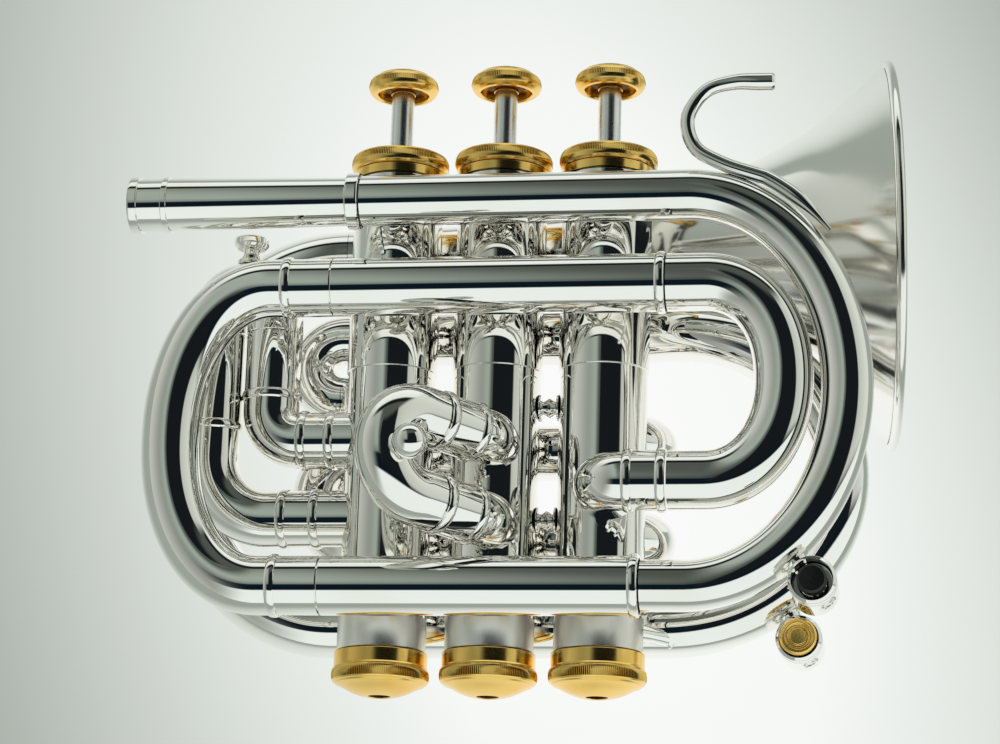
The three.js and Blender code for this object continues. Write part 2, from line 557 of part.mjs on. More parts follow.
// The bell's tail: round the left, under the valves, round the right, and back to the first valve
function addTail() {
  const [startX, startY, startZ] = bell.tail;
  const t = tail;
  const mouth = at(...bell.mouth);
  const away = at(...bell.tail).sub(mouth).normalize();
  const first = at(startX, startY, startZ).addScaledVector(away, gap * 3);
  const leftFlat = new Bend(at(first.x, (startY + t.bottomY) / 2, 0), at(t.leftReach, 0, 0),
    at(0, (startY - t.bottomY) / 2, 0), 90, 270);
  const slope = (away.z / -away.x) * leftFlat.getLength();
  const fall = first.z - tailZ;
  const left = new Rising(leftFlat, (u) => tailZ + (1 - u) ** 2 * (fall * (1 + u * 2) + slope * u));
  const rightFlat = new THREE.CurvePath();
  rightFlat.add(new Bend(at(t.bottomX, (t.innerY + t.bottomY) / 2, 0), at(t.rightReach, 0, 0),
    at(0, (t.innerY - t.bottomY) / 2, 0), -90, 90));
  rightFlat.add(new THREE.LineCurve3(at(t.bottomX, t.innerY, 0), at(t.levelX, t.innerY, 0)));
  const right = new Rising(rightFlat, (u) => tailZ + (t.crestZ - tailZ) * smooth(u, ...t.climbShares)
    + (t.innerZ - t.crestZ) * smooth(u, ...t.descentShares));
  const loopFlat = new Bend(at(t.loopX, (t.innerY + t.loopY) / 2, t.innerZ), at(t.loopReach, 0, 0),
    at(0, (t.innerY - t.loopY) / 2, 0), 90, 270);
  const end = at(t.loopX, t.loopY, t.innerZ);
  const pieces = [[left, t.leftSteps], line(at(first.x, t.bottomY, tailZ), at(t.bottomX, t.bottomY, tailZ)),
    [right, t.rightSteps], line(at(t.levelX, t.innerY, t.innerZ), at(t.loopX, t.innerY, t.innerZ)),
    [loopFlat, t.loopSteps]];
  const startRadius = bell.rim * bell.radiusShares.at(-1);
  const taper = t.innerRadius / startRadius;
  const outer = along(new Run(pieces, { taper }), startRadius, tubeSides);
  const boreStart = first.clone().addScaledVector(away, -overrun);
  const boreEnd = end.clone().setX(end.x + overrun);
  const borePieces = [line(boreStart, first), ...pieces, line(end, boreEnd)];
  const bore = along(new Run(borePieces, { taper }), startRadius - t.wallThick * 2, boreSides);
  makePart('bell_tail', cutBy(outer, [bore]), finish.silver, horn);
  const tailRoom = along(new Run(pieces, { taper }), startRadius + gap, tubeSides);

  const e = tailElbow;
  const elbowStart = at(t.loopX + gap, t.loopY, t.innerZ);
  const turn = new Bend(elbowStart.clone().setZ(t.innerZ + e.bend), at(0, 0, -e.bend), at(e.bend, 0, 0), 0,
    e.sweepDegrees);
  const turnEnd = turn.getPoint(1);
  const inward = at(Math.cos(degrees(e.sweepDegrees)), 0, Math.sin(degrees(e.sweepDegrees)));
  const elbowPieces = [[turn, e.steps], line(turnEnd, turnEnd.clone().addScaledVector(inward, e.reach))];
  const elbow = along(new Run(elbowPieces), t.innerRadius, tubeSides);
  const boreRun = new Run([line(elbowStart.clone().setX(elbowStart.x - overrun), elbowStart),
    ...elbowPieces]);
  makePart('tail_elbow', intoCasing(1, elbow, boreRun, t.innerRadius - t.wallThick * 2), finish.silver, horn);
  return tailRoom;
}

function addBraces(tailRoom) {
  const b = casingBrace;
  [[1, 2], [2, 3]].forEach(([left, right]) => {
    b.levels.forEach((y, level) => {
      const reach = valveSpacing / 2 - casing.radius - gap;
      const middle = (valveX(left) + valveX(right)) / 2;
      const corners = [[0, -reach], [b.foot, -reach], [b.foot, b.footThick - reach],
        [b.waist, b.footThick - reach], [b.lobe, -b.footThick], [b.waist, 0], [b.lobe, b.footThick],
        [b.waist, reach - b.footThick],
        [b.foot, reach - b.footThick], [b.foot, reach], [0, reach]];
      const brace = makePart(`casing_brace_${left}${right}_${level ? 'lower' : 'upper'}`,
        toSolid(turned(corners, boreSides)), finish.silver, horn);
      brace.position.set(middle, y, 0);
      brace.rotation.z = -Math.PI / 2;
    });
  });

  // Between the leadpipe and the middle casing
  const l = leadBrace;
  const plate = post(at(valveX(middleValve), leadY, casing.radius + casing.band + gap),
    at(valveX(middleValve), leadY, frontZ - leadTube.radius - gap), l.foot, l.footThick, l.waist);
  makePart('leadpipe_brace', plate, finish.silver, horn);

  // From the foot of the third casing to the bottom run of the bell's tail
  const s = bellBrace;
  const casingSide = at(valveX(3), s.y, 0);
  const tailSide = at(s.tailX, s.y, tailZ);
  const blank = turnedAlong(rodCorners(s.waist, casingSide.distanceTo(tailSide)), boreSides, casingSide,
    tailSide.clone().sub(casingSide));
  makePart('bell_brace', cutBy(blank, [casingRooms[2], tailRoom]), finish.silver, horn);
}

// The finger hook: its foot lies along the bow, and its rod curls up to a blunt tip
function addHook() {
  const h = hook;
  const z = frontZ + h.lift;
  const centre = at(leadBow.startX, (leadY + lowerY) / 2, z);
  const footAcross = at(leadBow.reach + h.spread, 0, 0);
  const footUp = at(0, (leadY - lowerY) / 2 + h.spread, 0);
  const footRun = new Bend(centre, footAcross, footUp, h.footStartDegrees, h.footEndDegrees);
  const tip = at(...h.tip, z);
  const curlPoints = [footRun.getPoint(1), ...h.curl.map(([x, y]) => at(x, y, z)), tip];
  const curl = new THREE.CatmullRomCurve3(curlPoints, false, 'centripetal');
  const past = curl.getTangent(1).multiplyScalar(h.rod);
  const rod = new Run([[footRun, h.steps], [curl, h.steps * 4], line(tip, tip.clone().add(past), h.tipShare),
    line(tip.clone().add(past), tip.clone().addScaledVector(past, 2), h.tipShare)]);
  makePart('finger_hook', along(rod, h.rod, h.sides), finish.silver, horn);
}

// A push-through water key: a barrel across the tube on a saddle, with a sprung plunger
function addWaterKey(suffix, place, turn, plungerLook, capped, tubeRoom) {
  const w = waterKey;
  const front = w.length / 2;
  const spot = at(...place);
  const seat = w.headThick * 2;
  const outer = turnedAlong([[0, -front], [w.radius - w.rimBevel, -front], [w.radius, w.rimBevel - front],
    [w.radius, front - w.rimBevel], [w.radius - w.rimBevel, front], [0, front]], tubeSides, spot, at(0, 0, 1));
  const bore = turnedAlong(rodCorners(w.bore, front + overrun, -front - overrun), tubeSides, spot, at(0, 0, 1));
  const outward = at(Math.cos(degrees(turn)), Math.sin(degrees(turn)), 0);
  const drain = turnedAlong(rodCorners(w.drain, w.radius + overrun), boreSides, spot, outward);
  const counter = turnedAlong(rodCorners(w.head + gap, front + overrun, front - seat), tubeSides, spot,
    at(0, 0, 1));
  const saddle = turnedAlong(rodCorners(w.saddle, w.radius * 2), boreSides, spot, outward.clone().negate());
  makePart(`water_key_body_${suffix}`, cutBy(joined([outer, saddle]), [tubeRoom, bore, drain, counter]),
    finish.silver, horn);
  const headTop = front + (capped ? w.proud : w.proud - w.headThick / 2);
  const head = capped ? w.head : w.plunger + w.rimBevel;
  const corners = [[0, w.seatDepth - front - seat], [w.plunger, w.seatDepth - front - seat],
    [w.plunger, front - seat + w.stroke + gap], [head, front - seat + w.stroke + gap],
    [head, headTop - w.rimBevel], [head - w.rimBevel, headTop], [0, headTop]];
  const plunger = turnedAlong(corners, tubeSides, spot, at(0, 0, 1));
  makePart(`water_key_plunger_${suffix}`, plunger, plungerLook, horn);
}

// Valves, each in its own group on its own axis

function addValve(number) {
  const group = new THREE.Group();
  group.position.x = valveX(number);
  horn.add(group);
  const c = casing;
  const casingCorners = [[c.bore, c.bottom], [c.endRadius, c.bottom], [c.endRadius, c.bottomEndY],
    [c.radius, c.bottomEndY], [c.radius, c.bandY], [c.radius + c.band, c.bandY], [c.radius + c.band, c.topEndY],
    [c.endRadius, c.topEndY], [c.endRadius, c.top], [c.bore, c.top]];
  const shell = turnedAlong(casingCorners, roundSides, at(0, 0, 0), at(0, 1, 0));
  const core = turnedAlong(rodCorners(c.bore - gap, c.top + overrun, c.bottom - overrun), roundSides,
    at(0, 0, 0), at(0, 1, 0));
  const holes = ports[number - 1].map((port) => port.translate([-valveX(number), 0, 0]).subtract(core));
  makePart(`valve_casing_${number}`, cutBy(shell, holes), finish.silver, group);

  const t = topCap;
  const capBore = c.endRadius + gap;
  const capTop = c.top + t.rise;
  const skirtEnd = Math.max(capTop - t.depth, c.topEndY + gap);
  makePart(`top_cap_${number}`, toSolid(turned([[capBore, skirtEnd], [t.skirt, skirtEnd],
    [t.skirt, capTop - t.beadLow], [t.bead, capTop - t.beadLow + t.bevel], [t.bead, capTop - t.beadHigh],
    [t.crown + t.hole, capTop - t.shoulder], [t.crown, capTop], [t.hole, capTop], [t.hole, capTop - t.roof],
    [capBore, capTop - t.roof]], roundSides)), finish.gold, group);
  const b = bottomCap;
  const capFoot = c.bottom - b.drop;
  const collarEnd = Math.min(capFoot + b.depth, c.bottomEndY - gap);
  makePart(`bottom_cap_${number}`, toSolid(turned([[capBore, collarEnd], [b.skirt, collarEnd],
    [b.skirt, capFoot + b.beadHigh], [b.bead, capFoot + b.beadHigh - b.bevel], [b.bead, capFoot + b.beadLow],
    [b.dome, capFoot + b.domeRise], [b.hole, capFoot], [b.hole, capFoot + b.floor],
    [b.dome, capFoot + b.domeRise + b.floor], [capBore, capFoot + b.beadLow + b.floor / 2]].reverse(),
  roundSides)), finish.gold, group);
  addPistonParts(number, group);
}

function addPistonParts(number, group) {
  const p = piston;
  const body = turnedAlong([[0, p.bottom], [p.radius, p.bottom], [p.radius, p.shoulder], [p.barrel, p.shoulder],
    [p.barrel, p.top], [p.barrelBore, p.top], [p.barrelBore, p.shoulder], [0, p.shoulder]], tubeSides,
    at(0, 0, 0), at(0, 1, 0));
  const passages = passageDegrees[number - 1].map((angle, i) => {
    const level = THREE.MathUtils.lerp(p.bottom, p.shoulder, passageLevelShares[i]);
    const way = at(Math.cos(degrees(angle)), 0, Math.sin(degrees(angle)));
    const start = at(0, level, 0).addScaledVector(way, -p.radius - overrun);
    return turnedAlong(rodCorners(p.passage, (p.radius + overrun) * 2), boreSides, start, way);
  });
  const slot = new THREE.BoxGeometry((p.radius + overrun) * 2, p.slotTop - p.slotBottom, p.slotWidth);
  slot.translate(0, (p.slotTop + p.slotBottom) / 2, 0);
  makePart(`piston_${number}`, cutBy(body, [...passages, toSolid(slot)]), finish.brass, group);

  const g = guide;
  const top = g.bottom + g.thick;
  const disc = turnedAlong([[g.hole, g.bottom], [g.disc, g.bottom], [g.disc, top], [g.hole, top]], tubeSides,
    at(0, 0, 0), at(0, 1, 0));
  const keys = new THREE.BoxGeometry(g.reach * 2, g.thick, g.key);
  keys.translate(0, (g.bottom + top) / 2, 0);
  const hole = turnedAlong(rodCorners(g.hole, top + overrun, g.bottom - overrun), tubeSides, at(0, 0, 0),
    at(0, 1, 0));
  makePart(`valve_guide_${number}`, cutBy(joined([disc, toSolid(keys)]), [hole]), finish.brass, group);

  const s = spring;
  const low = top + s.wire + gap;
  const plugBottom = p.top + gap - stem.plugDepth;
  const high = plugBottom - s.wire - gap;
  const helix = new (class extends THREE.Curve {
    getPoint(u) {
      const angle = u * s.turns * Math.PI * 2;
      return at(s.radius * Math.cos(angle), THREE.MathUtils.lerp(low, high, u), s.radius * Math.sin(angle));
    }
  })();
  const winding = along(new Run([[helix, s.turns * s.stepsPerTurn]]), s.wire, s.sides);
  makePart(`valve_spring_${number}`, winding, finish.steel, group);

  const discTop = p.top + gap + stem.discThick;
  const f = button;
  const hubEnd = f.top - f.hubDepth;
  const socketEnd = f.top - f.socketTop;
  makePart(`valve_stem_${number}`, toSolid(turned([[0, plugBottom], [stem.plug, plugBottom],
    [stem.plug, p.top + gap], [stem.disc, p.top + gap], [stem.disc, discTop], [stem.radius, discTop],
    [stem.radius, hubEnd - gap], [stem.tenon, hubEnd - gap], [stem.tenon, socketEnd - gap],
    [0, socketEnd - gap]], tubeSides)), finish.steel, group);

  makePart(`finger_button_${number}`, toSolid(turned([[0, socketEnd], [f.socket, socketEnd],
    [f.socket, hubEnd], [f.hub, hubEnd], [f.hub, f.top - f.dishTop], [f.dish, f.top - f.dishTop],
    [f.radius - f.edge, f.top - f.depth], [f.radius, f.top - f.rimBottom], [f.radius, f.top - f.rimTop],
    [f.radius - f.edge, f.top - f.shoulder], [f.face, f.top], [0, f.top]], roundSides)), finish.gold, group);
  const feltTop = f.top - f.dishTop - gap;
  makePart(`button_felt_${number}`, toSolid(turned([[f.hub + gap * 2, feltTop - felt.thick],
    [felt.radius, feltTop - felt.thick], [felt.radius, feltTop], [f.hub + gap * 2, feltTop]], tubeSides)),
  finish.felt, group);
}

addReceiver();
const leadRoom = addLeadpipe();
addMainSleeve('upper_slide_sleeve', upperY, mainSleeve.upperEndX, sleevePost.upperX);
addMainSleeve('lower_slide_sleeve', lowerY, mainSleeve.lowerEndX, sleevePost.lowerX);
addTuningSlide();
addEntry();
addFirstSlide();
addSecondSlide();
addThirdSlide();
addBell();
const tailRoom = addTail();
addBraces(tailRoom);
addHook();
addWaterKey('front', keyFront.place, keyFront.turnDegrees, finish.rubber, false, leadRoom);
addWaterKey('back', keyBack.place, keyBack.turnDegrees, finish.gold, true, tailRoom);
valveNumbers.forEach(addValve);

// Lay the horn down, and set the origin on the table under its middle
const trumpet = new THREE.Group();
horn.rotation.set(degrees(restDegrees.aboutX), degrees(restDegrees.aboutY), 0);
trumpet.add(horn);
trumpet.updateMatrixWorld(true);
const box = new THREE.Box3().setFromObject(trumpet, true);
horn.position.set(-(box.min.x + box.max.x) / 2, -(box.min.y + box.max.y) / 2, -box.min.z);

export default trumpet;
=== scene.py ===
import math
import bpy
from mathutils import Matrix, Vector


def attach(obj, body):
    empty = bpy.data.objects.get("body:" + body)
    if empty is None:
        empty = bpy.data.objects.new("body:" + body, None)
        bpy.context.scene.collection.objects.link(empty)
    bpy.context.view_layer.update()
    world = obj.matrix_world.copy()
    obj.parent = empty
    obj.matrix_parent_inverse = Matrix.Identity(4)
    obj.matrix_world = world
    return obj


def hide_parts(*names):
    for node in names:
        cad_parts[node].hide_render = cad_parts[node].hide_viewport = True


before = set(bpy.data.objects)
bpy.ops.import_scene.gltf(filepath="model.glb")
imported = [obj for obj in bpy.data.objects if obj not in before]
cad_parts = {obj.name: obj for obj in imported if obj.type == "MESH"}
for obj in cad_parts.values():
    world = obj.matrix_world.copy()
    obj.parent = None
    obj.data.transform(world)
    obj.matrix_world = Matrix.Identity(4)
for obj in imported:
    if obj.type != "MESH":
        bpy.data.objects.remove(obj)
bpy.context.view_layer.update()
bpy.ops.object.select_all(action="DESELECT")
bpy.context.scene.view_settings.view_transform = "Standard"
print("frame loaded:", len(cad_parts), "nodes")

# Everything is drawn in the horn's own axes, in millimetres: X from mouthpiece to bell, Y up the valves,
# Z to the leadpipe side. restPose then lays the horn down as it rests, on its bell, tail and third slide.
mm = 0.001
restPose = {"aboutX": 5.995, "aboutY": -15.522, "place": (-7.102354, -13.425203, 46.126126)}
toRest = (Matrix.Translation(Vector(restPose["place"]) * mm)
          @ Matrix.Rotation(math.radians(restPose["aboutX"]), 4, "X")
          @ Matrix.Rotation(math.radians(restPose["aboutY"]), 4, "Y"))

layout = {"valveSpacing": 25, "frontZ": 20, "tailZ": -18.6, "thirdZ": -17.3, "leadY": 46.9, "upperY": 26.1,
          "lowerY": -43.6, "entryY": -19.8, "gap": 0.3}
frontZ = layout["frontZ"]
leadY = layout["leadY"]
upperY = layout["upperY"]
lowerY = layout["lowerY"]
entryY = layout["entryY"]
gap = layout["gap"]


# drawing helpers: profiles and paths

tiny = 1e-9
samePlace = 0.02
rounding = {"plain": 14, "most": 0.3, "support": 0.4}


def at(x, y, z):
    return Vector((x, y, z))


def softened(corners, radius=0.3, steps=3):
    # rounds each corner of a profile, with a support point on either side to keep the walls true
    corners = [Vector(c) for c in corners]
    rounded = [corners[0]]
    for before, corner, after in zip(corners, corners[1:], corners[2:]):
        back, on = before - corner, after - corner
        turn = math.pi - back.angle(on)
        if turn < math.radians(rounding["plain"]):
            rounded.append(corner)
            continue
        cut = min(radius * math.tan(turn / 2), back.length * rounding["most"], on.length * rounding["most"])
        start, end = corner + back.normalized() * cut, corner + on.normalized() * cut
        rounded.append(start + back.normalized() * cut * rounding["support"])
        for i in range(steps + 1):
            t = i / steps
            rounded.append(start * (1 - t) ** 2 + corner * 2 * t * (1 - t) + end * t * t)
        rounded.append(end + on.normalized() * cut * rounding["support"])
    rounded.append(corners[-1])
    return rounded


def flowing(points, stepsEach=4):
    # a smooth line through every point (centripetal), for profiles and for bent rods
    points = [Vector(p) for p in points]
    first = points[0] * 2 - points[1]
    last = points[-1] * 2 - points[-2]
    full = [first] + points + [last]
    line = [points[0]]
    for p0, p1, p2, p3 in zip(full, full[1:], full[2:], full[3:]):
        d1, d2, d3 = (max((b - a).length, tiny) ** 0.5 for a, b in ((p0, p1), (p1, p2), (p2, p3)))
        m1 = ((p1 - p0) / d1 - (p2 - p0) / (d1 + d2) + (p2 - p1) / d2) * d2
        m2 = ((p2 - p1) / d2 - (p3 - p1) / (d2 + d3) + (p3 - p2) / d3) * d2
        for i in range(1, stepsEach + 1):
            t = i / stepsEach
            line.append(p1 * (2 * t ** 3 - 3 * t ** 2 + 1) + m1 * (t ** 3 - 2 * t ** 2 + t)
                        + p2 * (3 * t ** 2 - 2 * t ** 3) + m2 * (t ** 3 - t ** 2))
    return line


def ovalArc(centre, across, along, start, end, steps=48, squareness=2):
    points = []
    for i in range(steps + 1):
        angle = math.radians(start + (end - start) * i / steps)
        c, s = math.cos(angle), math.sin(angle)
        c = math.copysign(abs(c) ** (2 / squareness), c)
        s = math.copysign(abs(s) ** (2 / squareness), s)
        points.append(centre + across * c + along * s)
    return points


def straightRun(start, end, step=4):
    count = max(2, int((end - start).length / step))
    return [start.lerp(end, i / count) for i in range(count + 1)]


def lengthsAlong(points):
    lengths = [0]
    for a, b in zip(points, points[1:]):
        lengths.append(lengths[-1] + (b - a).length)
    return lengths


def evened(points, count):
    # the same line with its points evenly spaced, and how far along each one lies
    lengths = lengthsAlong(points)
    line, k = [], 0
    for i in range(count + 1):
        goal = lengths[-1] * i / count
        while k < len(points) - 2 and lengths[k + 1] < goal:
            k += 1
        span = max(lengths[k + 1] - lengths[k], tiny)
        line.append((points[k].lerp(points[k + 1], min(1, (goal - lengths[k]) / span)), i / count))
    return line, lengths[-1]


def smoothStep(value, low, high):
    t = min(1, max(0, (value - low) / (high - low)))
    return t * t * (3 - 2 * t)


def joinedPath(*runs):
    path = []
    for run in runs:
        for point in run:
            if not path or (point - path[-1]).length > samePlace:
                path.append(point)
    return path


collar = {"width": 2.2, "lip": 0.5, "round": 0.8, "steps": 8, "clear": 0.05, "inset": 0.05}
ringInset = collar["width"] / 2 + collar["inset"]


def collarSteps(radius):
    # a half-round ring on a tube, as steps of (offset along the tube, radius)
    steps = []
    for i in range(collar["steps"] + 1):
        turn = math.pi * i / collar["steps"]
        lift = collar["lip"] * math.sin(turn) ** collar["round"]
        steps.append((-collar["width"] / 2 * math.cos(turn), radius + lift))
    return steps


def ringed(path, radius, places):
    # stations of a tube: its path, with a collar let in at each place, which lies on a straight
    lengths = lengthsAlong(path)
    rings, spans = [], []
    for place in places:
        best = None
        for i, (a, b) in enumerate(zip(path, path[1:])):
            way = b - a
            t = min(1, max(0, (place - a).dot(way) / way.length_squared))
            miss = (place - a - way * t).length
            if best is None or miss < best[0]:
                best = (miss, way.normalized(), lengths[i] + way.length * t)
        _, way, distance = best
        ring = [(distance + offset, place + way * offset, size) for offset, size in collarSteps(radius)]
        spans.append((ring[0][0] - collar["clear"], ring[-1][0] + collar["clear"]))
        rings += ring
    kept = [(distance, point, radius) for distance, point in zip(lengths, path)
            if not any(low < distance < high for low, high in spans)]
    return [(point, size) for _, point, size in sorted(kept + rings, key=lambda station: station[0])]


# modelling helpers: a turned piece, a drawn tube, and how a piece is put in its place

mergeReach = 1e-6
core = 0.05
fineEdge = (0.15, 2)
fineStep = 1


def closeMesh():
    # in edit mode: doubles merged, all faces turned outwards, and back to object mode
    bpy.ops.mesh.select_all(action="SELECT")
    bpy.ops.mesh.remove_doubles(threshold=mergeReach)
    bpy.ops.mesh.normals_make_consistent(inside=False)
    bpy.ops.object.mode_set(mode="OBJECT")


def turnOnLathe(name, profile, sides=64, hollow=False):
    # a ring, extruded and scaled along its axis through the (radius, height) points of the profile
    radius, height = profile[0]
    bpy.ops.object.select_all(action="DESELECT")
    bpy.ops.mesh.primitive_circle_add(vertices=sides, radius=radius * mm,
                                      fill_type="NOTHING" if hollow else "NGON")
    piece = bpy.context.object
    piece.name = name
    bpy.ops.object.mode_set(mode="EDIT")
    bpy.ops.transform.translate(value=(0, 0, height * mm))
    for nextRadius, nextHeight in profile[1:]:
        bpy.ops.mesh.extrude_region_move(TRANSFORM_OT_translate={"value": (0, 0, (nextHeight - height) * mm)})
        share = nextRadius / radius
        bpy.ops.transform.resize(value=(share, share, 1), center_override=(0, 0, nextHeight * mm))
        radius, height = nextRadius, nextHeight
    closeMesh()
    return piece


def drawTube(name, stations, resolution=10):
    # a curve through (point, radius) stations, with a round bevel, made into a mesh with closed ends
    bpy.ops.object.select_all(action="DESELECT")
    bpy.ops.curve.primitive_bezier_curve_add()
    tube = bpy.context.object
    tube.name = name
    curve = tube.data
    curve.splines.clear()
    spline = curve.splines.new("POLY")
    spline.points.add(len(stations) - 1)
    for point, (place, radius) in zip(spline.points, stations):
        point.co = (*(place * mm), 1)
        point.radius = radius
    curve.dimensions = "3D"
    curve.bevel_depth = mm
    curve.bevel_resolution = resolution
    curve.use_fill_caps = True
    bpy.ops.object.convert(target="MESH")
    tube = bpy.context.object
    bpy.ops.object.mode_set(mode="EDIT")
    closeMesh()
    return tube


def settle(piece):
    # the object's place goes into its mesh, and its origin back to the frame's
    bpy.ops.object.select_all(action="DESELECT")
    piece.select_set(True)
    bpy.context.view_layer.objects.active = piece
    bpy.ops.object.transform_apply(location=True, rotation=True, scale=True)
    return piece


def standAlong(piece, start, direction):
    # the lathe's axis is moved to start at a point and run along a direction
    turn = direction.normalized().to_track_quat("Z", "Y").to_matrix().to_4x4()
    piece.matrix_world = Matrix.Translation(start * mm) @ turn @ piece.matrix_world
    return settle(piece)


def merged(name, *pieces):
    bpy.ops.object.select_all(action="DESELECT")
    for piece in pieces:
        piece.select_set(True)
    bpy.context.view_layer.objects.active = pieces[0]
    bpy.ops.object.join()
    whole = bpy.context.object
    whole.name = name
    return whole


def cutBy(piece, cutter):
    # takes the cutter's form out of a piece
    cut = piece.modifiers.new("cut", "BOOLEAN")
    cut.operation = "DIFFERENCE"
    cut.solver = "EXACT"
    cut.object = cutter
    bpy.context.view_layer.objects.active = piece
    bpy.ops.object.modifier_apply(modifier=cut.name)
    bpy.data.objects.remove(cutter)
    return piece


pistonRoom = {"radius": 9.1, "reach": 45, "sides": 96}


def openToPiston(tube, valve):
    # the root of a tube ends on the bore of its valve, clear of the piston
    radius, reach = pistonRoom["radius"], pistonRoom["reach"]
    cutter = turnOnLathe("pistonRoom", [(radius, -reach), (radius, reach)], pistonRoom["sides"])
    bpy.ops.object.mode_set(mode="EDIT")
    bpy.ops.mesh.select_all(action="SELECT")
    bpy.ops.mesh.region_to_loop()
    bpy.ops.mesh.edge_face_add()
    bpy.ops.mesh.select_all(action="SELECT")
    bpy.ops.mesh.normals_make_consistent(inside=False)
    bpy.ops.object.mode_set(mode="OBJECT")
    standAlong(cutter, at((valve - 2) * layout["valveSpacing"], 0, 0), at(0, 1, 0))
    return cutBy(tube, cutter)


def copyOf(piece, name, offset=(0, 0, 0)):
    twin = piece.copy()
    twin.data = piece.data.copy()
    twin.name = name
    bpy.context.scene.collection.objects.link(twin)
    twin.location = Vector(offset) * mm
    return settle(twin)


def fit(piece, material, slotName, body, *nodes, angle=32):
    # laid down with the horn, shaded, painted, and put on its body
    piece.matrix_world = toRest @ piece.matrix_world
    settle(piece)
    bpy.ops.object.shade_smooth_by_angle(angle=math.radians(angle))
    piece.data.materials.clear()
    piece.data.materials.append(material)
    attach(piece, body)
    if nodes:
        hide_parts(*nodes)
    return piece


rimShare = 0.9


def knurl(piece, ribs, low, high, share):
    # every other line of vertices on the rim, between two heights, is pressed in
    sides = ribs * 2
    bpy.ops.object.select_all(action="DESELECT")
    piece.select_set(True)
    bpy.context.view_layer.objects.active = piece
    bpy.ops.object.mode_set(mode="EDIT")
    bpy.ops.mesh.select_mode(type="VERT")
    bpy.ops.mesh.select_all(action="DESELECT")
    bpy.ops.object.mode_set(mode="OBJECT")
    reach = max(math.hypot(v.co.x, v.co.y) for v in piece.data.vertices) * rimShare
    for vertex in piece.data.vertices:
        x, y, z = vertex.co
        rib = round(math.atan2(y, x) / (2 * math.pi) * sides)
        vertex.select = rib % 2 == 0 and low * mm < z < high * mm and math.hypot(x, y) > reach
    bpy.ops.object.mode_set(mode="EDIT")
    bpy.ops.transform.resize(value=(share, share, 1), center_override=(0, 0, (low + high) / 2 * mm))
    bpy.ops.object.mode_set(mode="OBJECT")


# finishes

polishNoise = {"patchDetail": 4, "markDetail": 6, "markRoughness": 0.7, "clean": 0.45, "dull": 0.72}
bumpDepth = 0.0002


def feed(tree, node, inputs):
    # sockets are linked to a node's inputs, and plain values are set on them
    for name, value in inputs.items():
        if isinstance(value, bpy.types.NodeSocket):
            tree.links.new(value, node.inputs[name])
        else:
            node.inputs[name].default_value = value
    return node


def addNode(tree, kind, inputs=None, **settings):
    node = tree.nodes.new("ShaderNode" + kind)
    for name, value in settings.items():
        setattr(node, name, value)
    return feed(tree, node, inputs or {})


def addRamp(tree, value, stops):
    # a new ramp has two stops, at 0 and 1
    ramp = addNode(tree, "ValToRGB", {"Fac": value})
    elements = ramp.color_ramp.elements
    for i in (0, -1):
        elements[i].position, elements[i].color = stops[i][0], (*stops[i][1], 1)
    for position, colour in stops[1:-1]:
        elements.new(position).color = (*colour, 1)
    return ramp.outputs["Color"]


def addBump(tree, height, strength):
    bump = addNode(tree, "Bump", {"Height": height, "Strength": strength, "Distance": bumpDepth})
    return bump.outputs["Normal"]


def polishGroup():
    # faint wear of a polished plate: cloudy patches in the tone, and fine buffing marks in the roughness
    group = bpy.data.node_groups.new("platePolish", "ShaderNodeTree")
    for side, kind, names in (
            ("INPUT", "Float", ("Patch Size", "Mark Size", "Roughness Low", "Roughness High")),
            ("INPUT", "Color", ("Clean Tone", "Dull Tone")), ("OUTPUT", "Color", ("Tone",)),
            ("OUTPUT", "Float", ("Roughness", "Ripple"))):
        for name in names:
            group.interface.new_socket(name=name, in_out=side, socket_type="NodeSocket" + kind)
    n = polishNoise
    look = group.nodes.new("NodeGroupInput").outputs
    place = addNode(group, "TexCoord").outputs["Object"]
    patches = addNode(group, "TexNoise", {
        "Vector": place, "Scale": look["Patch Size"], "Detail": n["patchDetail"]}).outputs["Fac"]
    marks = addNode(group, "TexNoise", {
        "Vector": place, "Scale": look["Mark Size"], "Detail": n["markDetail"],
        "Roughness": n["markRoughness"]}).outputs["Fac"]
    contrast = addNode(group, "MapRange", {
        "Value": patches, "From Min": n["clean"], "From Max": n["dull"]}).outputs["Result"]
    tone = addNode(group, "Mix", {
        "Factor": contrast, "A": look["Clean Tone"], "B": look["Dull Tone"]}, data_type="RGBA")
    blend = addNode(group, "Math", {0: contrast, 1: marks}, operation="MULTIPLY")
    rough = addNode(group, "MapRange", {
        "Value": blend.outputs["Value"], "To Min": look["Roughness Low"], "To Max": look["Roughness High"]})
    feed(group, group.nodes.new("NodeGroupOutput"), {
        "Tone": tone.outputs["Result"], "Roughness": rough.outputs["Result"], "Ripple": patches})
    return group


platePolish = polishGroup()


def newMaterial(name):
    material = bpy.data.materials.new(name)
    material.use_nodes = True
    return material, material.node_tree, material.node_tree.nodes["Principled BSDF"]


def plateMaterial(name, look):
    material, tree, shader = newMaterial(name)
    low, high = look["roughness"]
    polish = addNode(tree, "Group", {
        "Patch Size": look["patch"], "Mark Size": look["marks"], "Roughness Low": low, "Roughness High": high,
        "Clean Tone": (*look["clean"], 1), "Dull Tone": (*look["dull"], 1)}, node_tree=platePolish).outputs
    feed(tree, shader, {
        "Metallic": 1, "Base Color": polish["Tone"], "Roughness": polish["Roughness"],
        "Normal": addBump(tree, polish["Ripple"], look["ripple"])})
    return material


